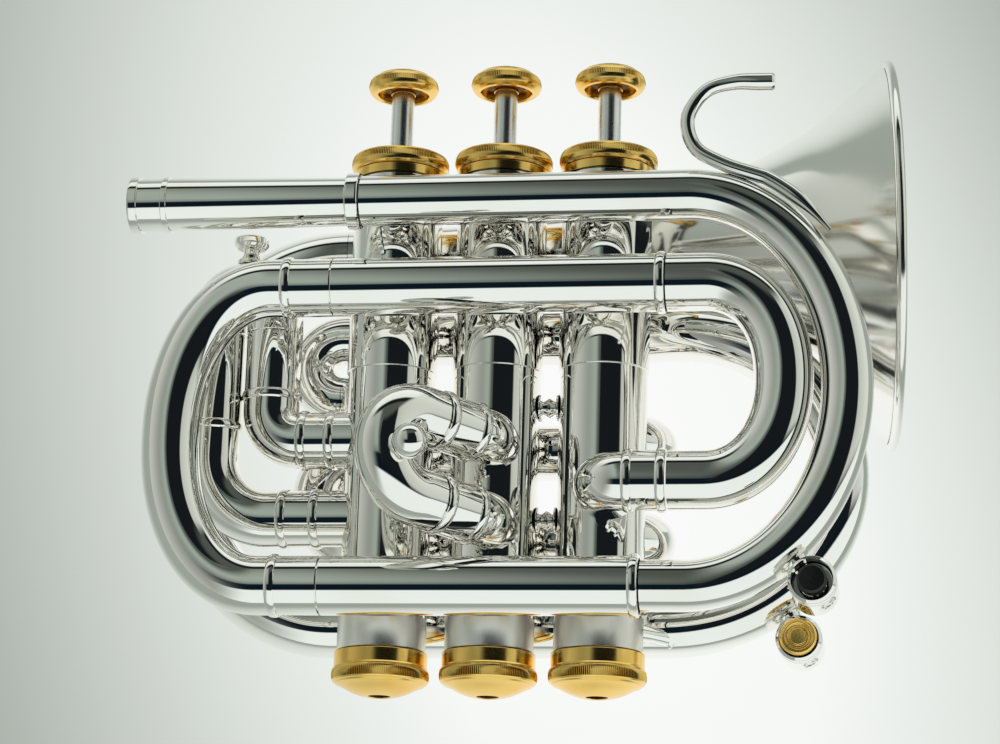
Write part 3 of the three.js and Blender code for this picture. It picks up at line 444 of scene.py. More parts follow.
silverPlate = plateMaterial("silverPlate", {
    "clean": (0.955, 0.945, 0.91), "dull": (0.92, 0.895, 0.83), "roughness": (0.025, 0.085), "patch": 35,
    "marks": 1400, "ripple": 0.05})
bellSilver = plateMaterial("bellSilver", {
    "clean": (0.955, 0.945, 0.915), "dull": (0.925, 0.905, 0.85), "roughness": (0.1, 0.18), "patch": 30,
    "marks": 1100, "ripple": 0.04})
footSilver = plateMaterial("footSilver", {
    "clean": (0.955, 0.945, 0.91), "dull": (0.92, 0.895, 0.83), "roughness": (0.3, 0.38), "patch": 35,
    "marks": 1400, "ripple": 0.05})
goldPlate = plateMaterial("goldPlate", {
    "clean": (1, 0.68, 0.2), "dull": (0.97, 0.6, 0.14), "roughness": (0.17, 0.27), "patch": 120,
    "marks": 2200, "ripple": 0.05})
stemSteel = plateMaterial("stemSteel", {
    "clean": (0.93, 0.94, 0.93), "dull": (0.88, 0.88, 0.87), "roughness": (0.26, 0.32), "patch": 160,
    "marks": 2600, "ripple": 0.01})
valveBrass = plateMaterial("valveBrass", {
    "clean": (0.86, 0.74, 0.48), "dull": (0.74, 0.6, 0.36), "roughness": (0.18, 0.34), "patch": 90,
    "marks": 1800, "ripple": 0.06})


def softMaterial(name, look):
    # felt and rubber: a grain in colour, roughness and height
    material, tree, shader = newMaterial(name)
    low, high = look["roughness"]
    place = addNode(tree, "TexCoord").outputs["Object"]
    grain = addNode(tree, "TexNoise", {
        "Vector": place, "Scale": look["grain"], "Detail": look["detail"]}).outputs["Fac"]
    rough = addNode(tree, "MapRange", {"Value": grain, "To Min": low, "To Max": high})
    feed(tree, shader, {
        "Base Color": addRamp(tree, grain, ((0, look["low"]), (1, look["high"]))),
        "Roughness": rough.outputs["Result"], "Normal": addBump(tree, grain, look["bump"]),
        "Sheen Weight": look["sheen"]})
    return material


buttonFelt = softMaterial("buttonFelt", {
    "low": (0.28, 0.15, 0.04), "high": (0.55, 0.33, 0.1), "roughness": (0.85, 1), "grain": 2600, "detail": 8,
    "bump": 0.8, "sheen": 0.4})
plungerRubber = softMaterial("plungerRubber", {
    "low": (0.006, 0.006, 0.007), "high": (0.02, 0.02, 0.022), "roughness": (0.22, 0.4), "grain": 1500,
    "detail": 8, "bump": 0.15, "sheen": 0})


def fitSilver(piece, node, body="body"):
    fit(piece, silverPlate, "silver_plate", body, node)


print("finishes mixed")

# leadpipe side: receiver, leadpipe, main slide

receiver = {"mouthX": -84.4, "bead": 6.6, "beadWidth": 2.2, "neck": 6.15, "neckWidth": 5.8, "ring": 6.55,
            "ringWidth": 1.3, "root": 6.2, "tip": 5.6, "tipX": -32.8, "ferrule": 6.6, "endX": -29.8,
            "mouthBore": 4.95, "throatBore": 4.6, "throatX": -55, "throatStep": 0.2, "stepX": -58,
            "edge": 0.45}


def makeReceiver():
    r = receiver
    beadEnd = r["mouthX"] + r["beadWidth"]
    neckEnd = beadEnd + r["neckWidth"]
    ringEnd = neckEnd + r["ringWidth"]
    start = (r["throatBore"] - r["throatStep"], r["stepX"])
    corners = [start, (r["throatBore"], r["throatX"]), (r["mouthBore"], r["mouthX"]),
               (r["bead"], r["mouthX"]), (r["bead"], beadEnd), (r["neck"], beadEnd),
               (r["neck"], neckEnd), (r["ring"], neckEnd), (r["ring"], ringEnd), (r["root"], ringEnd),
               (r["tip"], r["tipX"]), (r["ferrule"], r["tipX"]), (r["ferrule"], r["endX"]),
               (r["throatBore"], r["endX"]), start]
    piece = turnOnLathe("receiver", softened(corners, r["edge"]), hollow=True)
    standAlong(piece, at(0, leadY, frontZ), at(1, 0, 0))
    fitSilver(piece, "mouthpiece_receiver")


leadBow = {"tube": 5.85, "startX": 46, "reach": 36, "endX": 36.8, "steps": 96}


def makeLeadpipe():
    b = leadBow
    centre = at(b["startX"], (leadY + lowerY) / 2, frontZ)
    path = joinedPath(
        straightRun(at(receiver["endX"] + gap, leadY, frontZ), at(b["startX"], leadY, frontZ)),
        ovalArc(centre, at(b["reach"], 0, 0), at(0, (leadY - lowerY) / 2, 0), 90, -90, b["steps"]),
        straightRun(at(b["startX"], lowerY, frontZ), at(b["endX"], lowerY, frontZ)))
    fitSilver(drawTube("leadpipeTube", [(point, b["tube"]) for point in path]), "leadpipe")


casing = {"radius": 10.2, "bore": 9, "band": 0.35, "bandEdge": 0.1, "bandY": 10.4, "footY": -47.5,
          "endRadius": 9.5, "top": 63.2, "bottom": -62, "topEndY": 57.3, "bottomEndY": -55.2, "edge": 0.25,
          "sides": 96}
casingSide = casing["radius"] + casing["band"]
sleevePost = {"foot": 3.1, "waist": 1.7, "footThick": 0.9, "sink": 0.2}
mainSleeve = {"tube": 6.7, "bore": 6.15, "startX": -35.2, "upperEndX": 41.3, "lowerEndX": 36.5}
flange = {"rimShare": 0.4, "shoulderShare": 1.2, "flareShare": 1.15, "edge": 0.3, "sides": 32}


def makePost(name, start, end, foot, footThick, waist):
    # a turned strut with a flange at each end
    length = (end - start).length
    rim, shoulder = footThick * flange["rimShare"], footThick * flange["shoulderShare"]
    flare = waist * flange["flareShare"]
    corners = [(core, 0), (foot, 0), (foot, rim), (flare, shoulder), (waist, length / 2),
               (flare, length - shoulder), (foot, length - rim), (foot, length), (core, length)]
    post = turnOnLathe(name, softened(corners, flange["edge"]), flange["sides"])
    return standAlong(post, start, end - start)


def makeMainSleeve(name, y, endX, node):
    s, p = mainSleeve, sleevePost
    half = collar["width"] / 2
    corners = [(s["bore"], 0), (s["bore"], s["startX"]), (s["tube"], s["startX"]),
               (s["tube"], endX - half * 2)]
    corners += [(size, endX - half + offset) for offset, size in collarSteps(s["tube"])[1:]]
    corners += [(s["bore"], endX), (s["bore"], 0)]
    sleeve = turnOnLathe(name, softened(corners, *fineEdge), hollow=True)
    standAlong(sleeve, at(0, y, frontZ), at(1, 0, 0))
    post = makePost(name + "Post", at(0, y, casingSide), at(0, y, frontZ - s["bore"] + p["sink"]), p["foot"],
                    p["footThick"], p["waist"])
    fitSilver(merged(name, sleeve, post), node)


tuningBow = {"springX": -49.5, "reach": 22.5, "squareness": 2.12, "steps": 128, "collarX": -45.9, "leg": 5.85,
             "legBore": 5.2, "socket": 7, "legReach": 44}


def makeTuningSlide():
    t = tuningBow
    endX = mainSleeve["startX"] - gap
    centre = at(t["springX"], (upperY + lowerY) / 2, frontZ)
    path = joinedPath(
        straightRun(at(endX, upperY, frontZ), at(t["springX"], upperY, frontZ), fineStep),
        ovalArc(centre, at(t["reach"], 0, 0), at(0, (upperY - lowerY) / 2, 0), 90, 270, t["steps"],
                t["squareness"]),
        straightRun(at(t["springX"], lowerY, frontZ), at(endX, lowerY, frontZ), fineStep))
    rings = [at(t["collarX"], y, frontZ) for y in (upperY, lowerY)]
    bow = drawTube("tuningBow", ringed(path, mainSleeve["tube"], rings))
    fitSilver(bow, "tuning_slide_bow", "tuning_slide")
    corners = [(t["legBore"], 0), (t["legBore"], -t["socket"]), (t["leg"], -t["socket"]),
               (t["leg"], t["legReach"]), (t["legBore"], t["legReach"]), (t["legBore"], 0)]
    for word, y in (("Upper", upperY), ("Lower", lowerY)):
        leg = turnOnLathe("tuningLeg" + word, softened(corners, *fineEdge), hollow=True)
        standAlong(leg, at(endX, y, frontZ), at(1, 0, 0))
        fitSilver(leg, "tuning_leg_" + word.lower(), "tuning_slide")


entryBow = {"springX": 50, "reach": 17.9, "squareness": 2.15, "endX": 42.5, "steps": 96}
entryElbow = {"collarX": 33.5, "turnX": 31.9, "bend": 4.7, "rootZ": 5}
elbowSteps = 24


def makeEntry():
    b, e = entryBow, entryElbow
    tube = mainSleeve["tube"]
    centre = at(b["springX"], (upperY + entryY) / 2, frontZ)
    path = joinedPath(
        straightRun(at(mainSleeve["upperEndX"] + gap, upperY, frontZ), at(b["springX"], upperY, frontZ)),
        ovalArc(centre, at(b["reach"], 0, 0), at(0, (upperY - entryY) / 2, 0), 90, -90, b["steps"],
                b["squareness"]),
        straightRun(at(b["springX"], entryY, frontZ), at(b["endX"], entryY, frontZ)))
    fitSilver(drawTube("entryBow", [(point, tube) for point in path]), "entry_bow")
    mouth = b["endX"] - gap
    bend, footX, bentZ = e["bend"], e["turnX"] - e["bend"], frontZ - e["bend"]
    path = joinedPath(
        straightRun(at(mouth, entryY, frontZ), at(e["turnX"], entryY, frontZ), fineStep),
        ovalArc(at(e["turnX"], entryY, bentZ), at(-bend, 0, 0), at(0, 0, bend), 90, 0, elbowSteps),
        straightRun(at(footX, entryY, bentZ), at(footX, entryY, e["rootZ"])))
    rings = [at(x, entryY, frontZ) for x in (mouth - ringInset, e["collarX"])]
    fitSilver(openToPiston(drawTube("entryElbow", ringed(path, tube, rings)), 3), "entry_elbow")


makeReceiver()
makeLeadpipe()
makeMainSleeve("upperSleeve", upperY, mainSleeve["upperEndX"], "upper_slide_sleeve")
makeMainSleeve("lowerSleeve", lowerY, mainSleeve["lowerEndX"], "lower_slide_sleeve")
makeTuningSlide()
makeEntry()
print("leadpipe side drawn")

# valve slides

smallTube = {"radius": 6.6, "leg": 5.8}
crook = {"steps": 48, "legEnd": 0.02, "step": 0.01, "edge": 0.2, "shortest": 1.5}
firstSlide = {"upperY": -5.2, "lowerY": -23.9, "innerX": -53.6, "outerX": -67.3, "innerBend": 7.2,
              "outerBend": 14.4, "bendSteps": 32, "seamY": 20.3, "crownY": 25, "legLow": 7,
              "collars": ((-38.5, -45.2), (-41.3, -49)), "sleeveLow": (5.2, -2), "rootX": -28}
pullKnob = {"neck": 1.9, "neckShare": 2.4, "foot": 3.2, "footThick": 1, "disc": 4.15, "discEdge": (0.8, 0.9),
            "height": 7.4, "discThick": 3.4, "waist": 2.6, "dome": 0.1, "sink": 0.5, "edge": 0.5, "sides": 48}


def crookStations(upperEnd, lowerEnd, away, straightLength, legLength):
    # a U of tube, its two thinner legs, and the step at the mouth of each sleeve
    tube, leg = smallTube["radius"], smallTube["leg"]
    across = (upperEnd - lowerEnd) / 2
    middle = upperEnd - across + away * straightLength
    turn = ovalArc(middle, away * across.length, across, 90, -90, crook["steps"])
    up = [(upperEnd - away * legLength, leg), (upperEnd + away * (gap - crook["legEnd"]), leg),
          (upperEnd + away * gap, leg), (upperEnd + away * (gap + crook["step"]), tube - crook["edge"]),
          (upperEnd + away * (gap + crook["edge"]), tube)]
    down = [(lowerEnd + (point - upperEnd), size) for point, size in reversed(up)]
    halfway = [away * (straightLength * 0.5 + gap)] if straightLength > crook["shortest"] else []
    up += [(upperEnd + reach, tube) for reach in halfway] + [(point, tube) for point in turn]
    return up + [(lowerEnd + reach, tube) for reach in halfway] + down


def makeFirstSlide():
    s = firstSlide
    levels = (s["upperY"], s["lowerY"])
    risers = (s["innerX"], s["outerX"])
    for i, word in enumerate(("Inner", "Outer")):
        bend = s[word.lower() + "Bend"]
        turnX, turnY = risers[i] + bend, levels[i] + bend
        path = joinedPath(
            straightRun(at(s["rootX"], levels[i], 0), at(turnX, levels[i], 0), fineStep),
            ovalArc(at(turnX, turnY, 0), at(-bend, 0, 0), at(0, -bend, 0), 90, 0, s["bendSteps"]),
            straightRun(at(risers[i], turnY, 0), at(risers[i], s["seamY"], 0), fineStep))
        rings = [at(x, levels[i], 0) for x in s["collars"][i]] + [at(risers[i], s["sleeveLow"][i], 0)]
        sleeve = drawTube("firstSleeve" + word, ringed(path, smallTube["radius"], rings))
        fitSilver(openToPiston(sleeve, 1), "first_slide_sleeve_" + word.lower())
    bow = drawTube("firstCrook", crookStations(
        at(s["innerX"], s["seamY"], 0), at(s["outerX"], s["seamY"], 0), at(0, 1, 0), s["crownY"] - s["seamY"],
        s["seamY"] - s["legLow"]))
    k = pullKnob
    crown = s["crownY"] + (s["innerX"] - s["outerX"]) / 2 + smallTube["radius"] - k["sink"]
    under = k["height"] - k["discThick"]
    corners = [(core, 0), (k["foot"], 0), (k["foot"], k["footThick"]),
               (k["neck"], k["footThick"] * k["neckShare"]), (k["neck"], under),
               (k["disc"] - k["discEdge"][0], under), (k["disc"], under + k["discEdge"][1]),
               (k["disc"], k["height"] - k["footThick"]), (k["waist"], k["height"] - k["dome"]),
               (core, k["height"])]
    knob = turnOnLathe("pullKnob", softened(corners, k["edge"]), k["sides"])
    standAlong(knob, at((s["innerX"] + s["outerX"]) / 2, crown, 0), at(0, 1, 0))
    fitSilver(merged("firstCrook", bow, knob), "first_slide_crook", "first_slide")


secondSlide = {"upperY": -8.3, "lowerY": -27.3, "splay": 45, "climb": 9, "rootX": 0.5, "rootZ": 5,
               "turnZ": 12, "bend": 6.9, "sleeve": 11.4, "ring": 0.35, "straight": 4.6, "legLength": 8.6,
               "resolution": 12}
ballKnob = {"radius": 4, "neck": 1.6, "lift": 1.9, "flare": ((1.7, -0.8), (1.5, 0.2), (1, 0.7)),
            "arc": (-62, 90, 8), "sides": 48}


def makeSecondSlide():
    s = secondSlide
    tube = smallTube["radius"]
    splay, climb = math.radians(s["splay"]), math.radians(s["climb"])
    side, front = at(-math.cos(climb), math.sin(climb), 0), at(0, 0, 1)
    way = side * math.cos(splay) + front * math.sin(splay)
    ends = []
    for word in ("Upper", "Lower"):
        y = s[word.lower() + "Y"]
        turnStart = at(s["rootX"], y, s["turnZ"])
        turn = ovalArc(turnStart + side * s["bend"], side * -s["bend"], front * s["bend"], 0, 90 - s["splay"],
                       elbowSteps)
        end = turn[-1] + way * s["sleeve"]
        path = joinedPath(straightRun(at(s["rootX"], y, s["rootZ"]), turnStart), turn,
                          straightRun(turn[-1], end, fineStep))
        rings = [turn[-1] + way * (collar["width"] / 2 + s["ring"]), end - way * ringInset]
        sleeve = openToPiston(drawTube("secondSleeve" + word, ringed(path, tube, rings)), 2)
        fitSilver(sleeve, "second_slide_sleeve_" + word.lower())
        ends.append(end)
    bow = drawTube("secondCrook", crookStations(*ends, way, s["straight"], s["legLength"]), s["resolution"])
    crest = (ends[0] + ends[1]) / 2 + way * (s["straight"] + (s["upperY"] - s["lowerY"]) / 2)
    outward = side * -math.sin(splay) + front * math.cos(splay)
    b = ballKnob
    centre = tube + b["lift"] + b["radius"] / 2
    corners = [(b["neck"] * share, tube + rise) for share, rise in b["flare"]]
    for turn in range(*b["arc"]):
        angle = math.radians(turn)
        corners.append((b["radius"] * math.cos(angle), centre + b["radius"] * math.sin(angle)))
    corners.append((core, centre + b["radius"]))
    ball = standAlong(turnOnLathe("ballKnob", corners, b["sides"]), crest, outward)
    fitSilver(merged("secondCrook", bow, ball), "second_slide_crook", "second_slide")


thirdSlide = {"upperY": -4.3, "lowerY": -27.1, "rootX": 30.5, "rootZ": -6, "bulgeX": 36.6, "turnX": 24,
              "turnSteps": 32, "sleeveEndX": -4, "crookX": -33.5, "legLength": 26}


def makeThirdSlide():
    s = thirdSlide
    z = layout["thirdZ"]
    ends = []
    for word in ("Upper", "Lower"):
        y = s[word.lower() + "Y"]
        a, b = at(s["rootX"], y, s["rootZ"]), at(s["bulgeX"], y, (s["rootZ"] + z) / 2)
        c, d = at(s["bulgeX"], y, z), at(s["turnX"], y, z)
        turn = []
        for i in range(s["turnSteps"] + 1):
            t = i / s["turnSteps"]
            turn.append(a * (1 - t) ** 3 + b * 3 * t * (1 - t) ** 2 + c * 3 * t * t * (1 - t) + d * t ** 3)
        end = at(s["sleeveEndX"], y, z)
        path = joinedPath(turn, straightRun(d, end, fineStep))
        stations = ringed(path, smallTube["radius"], [end + at(ringInset, 0, 0)])
        sleeve = openToPiston(drawTube("thirdSleeve" + word, stations), 3)
        fitSilver(sleeve, "third_slide_sleeve_" + word.lower())
        ends.append(end)
    bow = drawTube("thirdCrook", crookStations(*ends, at(-1, 0, 0), s["sleeveEndX"] - s["crookX"],
                                               s["legLength"]))
    fitSilver(bow, "third_slide_crook", "third_slide")


makeFirstSlide()
makeSecondSlide()
makeThirdSlide()
print("valve slides drawn")

# bell, its tail, and the braces

bell = {"tail": (-40, 43.6, -17.9), "mouth": (89.6, 46.9, -30), "rim": 47, "bead": 1.15,
        "beadArc": (-120, 151, 18), "rimY": 0.9, "thick": 0.6, "slant": 0.3, "sides": 128, "smooth": 40,
        "curveSteps": 4,
        "stations": (0.02, 0.055, 0.095, 0.14, 0.185, 0.24, 0.3, 0.37, 0.45, 0.58, 0.76, 1),
        "radii": (0.94, 0.85, 0.755, 0.66, 0.585, 0.507, 0.435, 0.367, 0.304, 0.243, 0.199, 0.165)}


def makeBell():
    b = bell
    mouth, tailEnd = at(*b["mouth"]), at(*b["tail"])
    length = (mouth - tailEnd).length
    rim = b["rim"] - b["bead"]
    flare = [(rim, b["rimY"], 0)]
    flare += [(b["rim"] * radius, length * share, 0) for share, radius in zip(b["stations"], b["radii"])]
    outer = [(p.x, p.y) for p in flowing(flare, b["curveSteps"])]
    inner = [(radius - b["thick"], height - b["thick"] * b["slant"]) for radius, height in outer]
    bead = []
    for turn in range(*b["beadArc"]):
        angle = math.radians(turn)
        bead.append((rim + b["bead"] * math.cos(angle), b["bead"] * math.sin(angle)))
    profile = inner[::-1][:-2] + bead + outer[1:] + [inner[-1]]
    piece = standAlong(turnOnLathe("bellFlare", profile, b["sides"], hollow=True), mouth, tailEnd - mouth)
    fit(piece, bellSilver, "silver_plate", "body", "bell", angle=b["smooth"])


tail = {"leftReach": 38.3, "bottomY": -46.2, "bottomX": 37.6, "rightReach": 41.3, "innerY": 24,
        "innerRadius": 6, "innerZ": -18.2, "crestZ": -12.2, "climb": (0.1, 0.6), "descent": (0.7, 0.95),
        "levelX": 16, "loopX": -40, "loopReach": 8, "loopY": 9, "bowSteps": 240, "loopSteps": 32,
        "leftPoints": 80, "rightPoints": 90, "wall": 0.7, "boreStations": 45, "seam": 0.1, "resolution": 11}
tailElbow = {"bend": 8.2, "sweep": 62, "reach": 9}


def makeTail():
    t, e = tail, tailElbow
    tailZ = layout["tailZ"]
    start = at(*bell["tail"])
    away = (start - at(*bell["mouth"])).normalized()
    first = start + away * t["seam"]
    bow = ovalArc(at(first.x, (start.y + t["bottomY"]) / 2, 0), at(t["leftReach"], 0, 0),
                  at(0, (start.y - t["bottomY"]) / 2, 0), 90, 270, t["bowSteps"])
    flat, reach = evened(bow, t["leftPoints"])
    slope = away.z / -away.x * reach
    left = [at(p.x, p.y, tailZ + (1 - u) ** 2 * ((first.z - tailZ) * (1 + u * 2) + slope * u))
            for p, u in flat]
    bow = ovalArc(at(t["bottomX"], (t["innerY"] + t["bottomY"]) / 2, 0), at(t["rightReach"], 0, 0),
                  at(0, (t["innerY"] - t["bottomY"]) / 2, 0), -90, 90, t["bowSteps"])
    flat, _ = evened(bow + [at(t["levelX"], t["innerY"], 0)], t["rightPoints"])
    right = [at(p.x, p.y, tailZ + (t["crestZ"] - tailZ) * smoothStep(u, *t["climb"])
                + (t["innerZ"] - t["crestZ"]) * smoothStep(u, *t["descent"])) for p, u in flat]
    loop = ovalArc(at(t["loopX"], (t["innerY"] + t["loopY"]) / 2, t["innerZ"]), at(t["loopReach"], 0, 0),
                   at(0, (t["innerY"] - t["loopY"]) / 2, 0), 90, 270, t["loopSteps"])
    path = joinedPath(left, straightRun(left[-1], right[0]), right, straightRun(right[-1], loop[0]), loop)
    lengths = lengthsAlong(path)
    wide, slim = bell["rim"] * bell["radii"][-1], t["innerRadius"]
    stations = [(point, wide + (slim - wide) * gone / lengths[-1]) for point, gone in zip(path, lengths)]
    wall = t["wall"]
    bore = [(first - away * wall, wide - wall)]
    bore += [(point, size - wall) for point, size in stations[1:t["boreStations"]]]
    horn = drawTube("bellTail", stations, t["resolution"])
    fitSilver(cutBy(horn, drawTube("throatRoom", bore, t["resolution"])), "bell_tail")
    elbowStart = at(t["loopX"] + gap, t["loopY"], t["innerZ"])
    turn = ovalArc(elbowStart + at(0, 0, e["bend"]), at(0, 0, -e["bend"]), at(e["bend"], 0, 0), 0, e["sweep"],
                   elbowSteps)
    inward = at(math.cos(math.radians(e["sweep"])), 0, math.sin(math.radians(e["sweep"])))
    path = joinedPath(turn, straightRun(turn[-1], turn[-1] + inward * e["reach"]))
    fitSilver(openToPiston(drawTube("tailElbow", [(point, slim) for point in path]), 1), "tail_elbow")


casingBrace = {"levels": (2.2, -24.5), "foot": 3.1, "footThick": 0.7, "waist": 1.4, "lobe": 2.3,
               "rimShare": 0.6, "waistShare": 1.3, "lobeShares": (0.8, 1.1), "edge": 0.25, "sides": 40}
leadBrace = {"foot": 3.4, "waist": 1.9, "footThick": 0.9, "tube": 5.85, "sink": 0.3}
bellBrace = {"y": -49, "tailX": 43, "waist": 1.8, "footShare": 1.5, "footThick": 0.9, "sink": 0.3, "short": 5}


def makeBraces():
    b = casingBrace
    spacing = layout["valveSpacing"]
    reach, thick = spacing / 2 - casing["radius"], b["footThick"]
    half = [(b["foot"], reach), (b["foot"], reach - thick * b["rimShare"]),
            (b["waist"], reach - thick * b["waistShare"]),
            (b["lobe"] * b["lobeShares"][0], thick * b["lobeShares"][1]), (b["lobe"], 0)]
    corners = [(core, -reach)] + [(r, -h) for r, h in half] + list(reversed(half[:-1])) + [(core, reach)]
    first = turnOnLathe("casingBrace", softened(corners, b["edge"]), b["sides"])
    standAlong(first, at(0, 0, 0), at(1, 0, 0))
    for left in (1, 2):
        for level, word in zip(b["levels"], ("upper", "lower")):
            x = (left - 2) * spacing + spacing / 2
            brace = copyOf(first, f"casingBrace{left}{left + 1}{word}", (x, level, 0))
            fitSilver(brace, f"casing_brace_{left}{left + 1}_{word}")
    bpy.data.objects.remove(first)
    b = leadBrace
    brace = makePost("leadBrace", at(0, leadY, casingSide), at(0, leadY, frontZ - b["tube"] + b["sink"]),
                     b["foot"], b["footThick"], b["waist"])
    fitSilver(brace, "leadpipe_brace")
    b = bellBrace
    start = at(spacing, b["y"], 0)
    end = at(b["tailX"], b["y"], layout["tailZ"])
    way = (end - start).normalized()
    brace = makePost("bellBrace", start + way * (casing["radius"] - b["sink"]), end - way * b["short"],
                     b["waist"] * b["footShare"], b["footThick"], b["waist"])
    fitSilver(brace, "bell_brace")


hook = {"rod": 1.7, "lift": 3.2, "spread": 7.3, "footStart": 42, "footEnd": 66, "footSteps": 16,
        "footShares": (0.35, 0.65), "footSwell": (0, 0.6), "curlSteps": 10, "tip": (62.3, 72.6),
        "curl": ((53.6, 53.3), (47.6, 57.3), (45.9, 64.1), (49.9, 70.6), (56.4, 72.6)),
        "tipShare": 1.2, "tipSwell": (0.7, 1), "tipReach": 2, "tipEdge": 0.85, "tipEnd": 0.8, "resolution": 8}


def makeHook():
    h = hook
    rod, wide = h["rod"], h["rod"] * h["tipShare"]
    z = frontZ + h["lift"]
    centre = at(leadBow["startX"], (leadY + lowerY) / 2, z)
    foot = ovalArc(centre, at(leadBow["reach"] + h["spread"], 0, 0),
                   at(0, (leadY - lowerY) / 2 + h["spread"], 0), h["footStart"], h["footEnd"], h["footSteps"])
    curl = flowing([foot[-1]] + [at(x, y, z) for x, y in h["curl"]] + [at(*h["tip"], z)], h["curlSteps"])
    end = curl[-1] + (curl[-1] - curl[-2]).normalized() * rod * h["tipReach"]
    stations = []
    least, more = h["footShares"]
    for i, point in enumerate(foot[:-1]):
        stations.append((point, rod * (least + more * smoothStep(i / len(foot), *h["footSwell"]))))
    for i, point in enumerate(curl):
        swell = smoothStep(i / len(curl), *h["tipSwell"])
        stations.append((point, rod * (1 + (h["tipShare"] - 1) * swell)))
    stations += [(curl[-1].lerp(end, h["tipEdge"]), wide), (end, wide * h["tipEnd"])]
    fitSilver(drawTube("fingerHook", stations, h["resolution"]), "finger_hook")


makeBell()
makeTail()
makeBraces()
makeHook()
print("bell and braces drawn")

# water keys

waterKey = {"radius": 5.35, "length": 15, "bore": 3, "rimBevel": 0.7, "footBevel": 0.6, "stroke": 2,
            "groove": ((3.4, 0), (3.1, 0.45), (2.6, 0.45), (2.3, 0)), "plunger": 2.55, "proud": 2.4,
            "head": 4.3, "headThick": 2.2, "headEdge": 0.5, "seatDepth": 9, "crown": 0.15, "sides": 48,
            "headRings": ((1.2, 0), (1.6, 0.4), (2.1, 0.4), (2.4, 0))}
keySaddle = {"radius": 3.4, "reach": 1.6, "root": 3, "footThick": 1, "waistShare": 0.9}
keyNozzle = {"bore": 1.3, "root": 2, "lip": 0.2, "lipWall": 0.7, "wall": 1, "flare": 0.5, "edge": 0.2,
             "sides": 32}
keyFront = {"place": (74.7, -43.6, 20), "turn": -51.3}
keyBack = {"place": (69.6, -49.6, -18), "turn": -64.2}


def makeWaterKey(word, spot, capped):
    w = waterKey
    centre = at(*spot["place"])
    up = at(0, 0, 1)
    front = w["length"] / 2
    seat = w["headThick"] * 2
    bore, radius, wide = w["bore"], w["radius"], w["head"] + gap
    corners = [(bore, 0), (bore, -front), (radius - w["footBevel"], -front), (radius, -front + w["rimBevel"])]
    corners += [(radius - depth, front - down) for down, depth in w["groove"]]
    corners += [(radius, front - w["rimBevel"]), (radius - w["rimBevel"], front), (wide, front),
                (wide, front - seat), (bore, front - seat), (bore, 0)]
    barrel = standAlong(turnOnLathe(f"keyBarrel{word}", softened(corners), hollow=True), centre, up)
    angle = math.radians(spot["turn"])
    outward = at(math.cos(angle), math.sin(angle), 0)
    k = keySaddle
    saddle = makePost(f"keySaddle{word}", centre - outward * (radius * k["reach"]),
                      centre - outward * k["root"], k["radius"], k["footThick"],
                      k["radius"] * k["waistShare"])
    k = keyNozzle
    drain, wall, tip = k["bore"], k["bore"] + k["wall"], radius + k["lip"]
    corners = [(drain, k["root"]), (drain, tip), (drain + k["lipWall"], tip), (wall, radius - k["flare"]),
               (wall, k["root"]), (drain, k["root"])]
    nozzle = turnOnLathe(f"keyNozzle{word}", softened(corners, k["edge"]), k["sides"], hollow=True)
    standAlong(nozzle, centre, outward)
    fitSilver(merged(f"keyBarrel{word}", barrel, saddle, nozzle), f"water_key_body_{word}")
    top = front + (w["proud"] if capped else w["proud"] - w["headThick"] / 2)
    head = w["head"] if capped else w["plunger"] + w["rimBevel"]
    low = w["seatDepth"] - front - seat
    under = front - seat + w["stroke"] + gap
    corners = [(core, low), (w["plunger"], low), (w["plunger"], under), (head, under),
               (head, top - w["headEdge"]), (head - w["headEdge"], top)]
    if capped:
        corners += [(head - inset, top - depth) for inset, depth in w["headRings"]]
    corners.append((core, top + (0 if capped else w["crown"])))
    plunger = standAlong(turnOnLathe(f"keyPlunger{word}", softened(corners), w["sides"]), centre, up)
    look, slotName = (goldPlate, "gold_trim") if capped else (plungerRubber, "rubber")
    fit(plunger, look, slotName, f"water_key_{word}", f"water_key_plunger_{word}")


makeWaterKey("front", keyFront, False)
makeWaterKey("back", keyBack, True)
print("water keys drawn")

# valves

capBore = casing["endRadius"] + gap
topCap = {"skirt": 10.7, "bead": 11.6, "hole": 3.4, "bottom": 57.6, "beadLow": 59.9, "beadHigh": 63.9,
          "beadRise": 1.5, "beadSink": 0.05, "beadSteps": 12, "beadGap": 0.2, "start": 1, "lip": 4.5,
          "top": 64.7, "crown": ((9.2, 64.12), (8.2, 64.3), (7, 64.45), (5.4, 64.6), (4.6, 64.62)),
          "roof": 1, "roofSlope": 0.4, "ribs": 168, "knurl": (1.3, 0.4), "ribShare": 0.99}
bottomCap = {"skirt": 10.7, "bead": 11.2, "dome": 7, "hole": 2.5, "holeEdge": 0.12, "lip": 2.9, "top": -55.5,
             "beadHigh": -59, "beadLow": -62.9, "beadTop": 0.4, "beadFoot": 0.5, "beadRise": 0.7,
             "domeY": -64.7,
             "ogee": ((10.2, -62.75), (9.7, -62.95), (9.1, -63.15), (8.4, -63.5), (7.6, -63.95), (6.7, -64.4),
                      (5.7, -64.8), (4.6, -65.15), (3.6, -65.35)), "start": 1, "bottom": -65.45, "floor": 1.1,
             "ribs": 150, "knurl": (1, 0.75), "ribShare": 0.987}
button = {"face": 6.7, "dish": 6, "dishEdge": (0.3, 0.35), "hub": 2.95, "socket": 1.95, "top": 84.6,
          "bottom": 79.7, "dishTop": 82.3, "hubBottom": 80, "socketTop": 83.1, "edge": 0.12,
          "side": ((7.1, 79.8), (7.6, 80.1), (8, 80.55), (8.25, 81.05), (8.4, 81.7), (8.3, 82.35), (8.1, 83),
                   (7.7, 83.55), (7.2, 83.95)), "rim": ((0.05, 84.1), (0, 84.3)), "faceEdge": 0.3,
          "ribs": 120, "knurl": (81.5, 83.35), "ribShare": 0.987}
